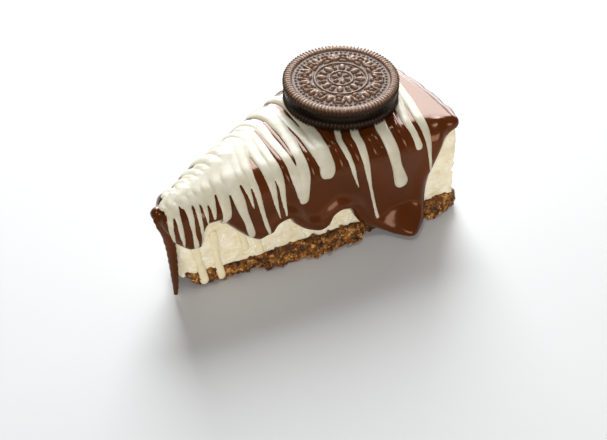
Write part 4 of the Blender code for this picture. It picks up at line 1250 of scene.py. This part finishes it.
def dress_biscuit():
    """The sandwich biscuit: two wafers back to back with a disc of cream between them."""
    upper_low, upper_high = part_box("biscuit_upper_wafer")
    crown, lower_crown = upper_high.z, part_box("biscuit_lower_wafer")[1].z
    wafer = cocoa_wafer("cocoa_wafer", ("#180D07", "#281810", "#402C20"), crown)
    # Painted shade: the lower wafer wears a darker copy of the wafer's finish, which stands in for the shade
    # under the upper wafer.
    shaded = cocoa_wafer("cocoa_wafer_below", ("#0E0704", "#180E09", "#281A13"), crown)
    tree = ring_tree()
    thickness = (crown - upper_low.z) / MM
    upper = fused(wafer_mesh("upper", tree, wafer, thickness, ORNAMENT), UPPER_WAFER_VOXEL, 1)
    lower = fused(wafer_mesh("lower", tree, shaded, thickness, ()), FINE_VOXEL, 1)
    place_biscuit(upper, upper_low.z)
    place_biscuit(lower, lower_crown, flip=True)
    piece("upper_wafer", upper, wafer, "cocoa_wafer", "biscuit_upper_wafer")
    piece("lower_wafer", lower, shaded, "cocoa_wafer", "biscuit_lower_wafer")
    cream_low, cream_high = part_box("biscuit_cream")
    tall = (cream_high.z - cream_low.z) / MM + 0.3
    edge = (cream_high.x - cream_low.x) / 2 / MM - 0.5
    disc = turned("cream", ((0.3, 0.0), (edge - 0.8, 0.0), (edge - 0.2, 0.35), (edge, tall / 2),
                            (edge - 1.6, tall - 0.5), (edge - 2.2, tall), (0.3, tall)))
    place_biscuit(disc, cream_low.z - 0.15 * MM)
    piece("cream_layer", disc, biscuit_cream_finish(), "biscuit_cream", "biscuit_cream")


# Surroundings
def stage_and_light():
    """A pale floor, a dim grey surround, and four soft boxes of which the back one is the strongest."""
    mesh = bpy.data.meshes.new("floor")
    reach, level = 4.0, -0.2 * MM
    mesh.from_pydata([(-reach, -reach, level), (reach, -reach, level), (reach, reach, level),
                      (-reach, reach, level)], [], [(0, 1, 2, 3)])
    mesh.materials.append(surface("pale_floor", Roughness=0.6, Base_Color=linear("#C6C4C1"))[0])
    floor = bpy.data.objects.new("floor", mesh)
    bpy.context.scene.collection.objects.link(floor)
    world = bpy.data.worlds.new("studio")
    world.use_nodes = True
    give(world.node_tree.nodes["Background"], {"Color": linear("#E9EAEC"), "Strength": 0.24})
    bpy.context.scene.world = world
    area_light("back_window", azimuth=143.0, elevation=27.0, distance=2.0, size=(1.1, 1.95), power=94.0,
               tint="#F3F9FF")
    area_light("rim_window", azimuth=116.0, elevation=10.0, distance=2.0, size=(0.9, 0.9), power=17.0)
    area_light("overhead", azimuth=-60.0, elevation=76.0, distance=1.6, size=(0.35, 0.35), power=4.0)
    area_light("front_fill", azimuth=-32.0, elevation=21.0, distance=2.2, size=(1.8, 0.9), power=31.0)


def area_light(name, azimuth, elevation, distance, size, power, tint="#FFFFFF"):
    """A soft box that looks at the slice from a side given as a viewing angle is."""
    lamp = bpy.data.lights.new(name, "AREA")
    lamp.shape = "RECTANGLE"
    lamp.size, lamp.size_y = size
    lamp.energy = power
    lamp.color = linear(tint)[:3]
    obj = bpy.data.objects.new(name, lamp)
    a, e = math.radians(azimuth), math.radians(elevation)
    away = Vector((math.sin(a) * math.cos(e), -math.cos(a) * math.cos(e), math.sin(e)))
    obj.location = away * distance
    obj.rotation_mode = "QUATERNION"
    obj.rotation_quaternion = away.to_track_quat("Z", "Y")
    obj.visible_camera = False
    bpy.context.scene.collection.objects.link(obj)


def set_camera():
    """The photograph's viewpoint: from the tip's near side, looking down by 40 degrees."""
    camera = bpy.data.cameras.new("camera")
    camera.sensor_width = 36.0
    camera.lens = LENS
    camera.clip_start = 0.01
    obj = bpy.data.objects.new("camera", camera)
    eye, target = Vector(EYE) - SHIFT, Vector(TARGET) - SHIFT
    obj.location = eye
    obj.rotation_mode = "QUATERNION"
    obj.rotation_quaternion = (target - eye).to_track_quat("-Z", "Y")
    bpy.context.scene.collection.objects.link(obj)
    bpy.context.scene.camera = obj
    bpy.context.scene.view_settings.view_transform = "Standard"


def main():
    build_filling(cream_cheese())
    dress_crust()
    dress_topping()
    dress_biscuit()
    stage_and_light()
    set_camera()


main()
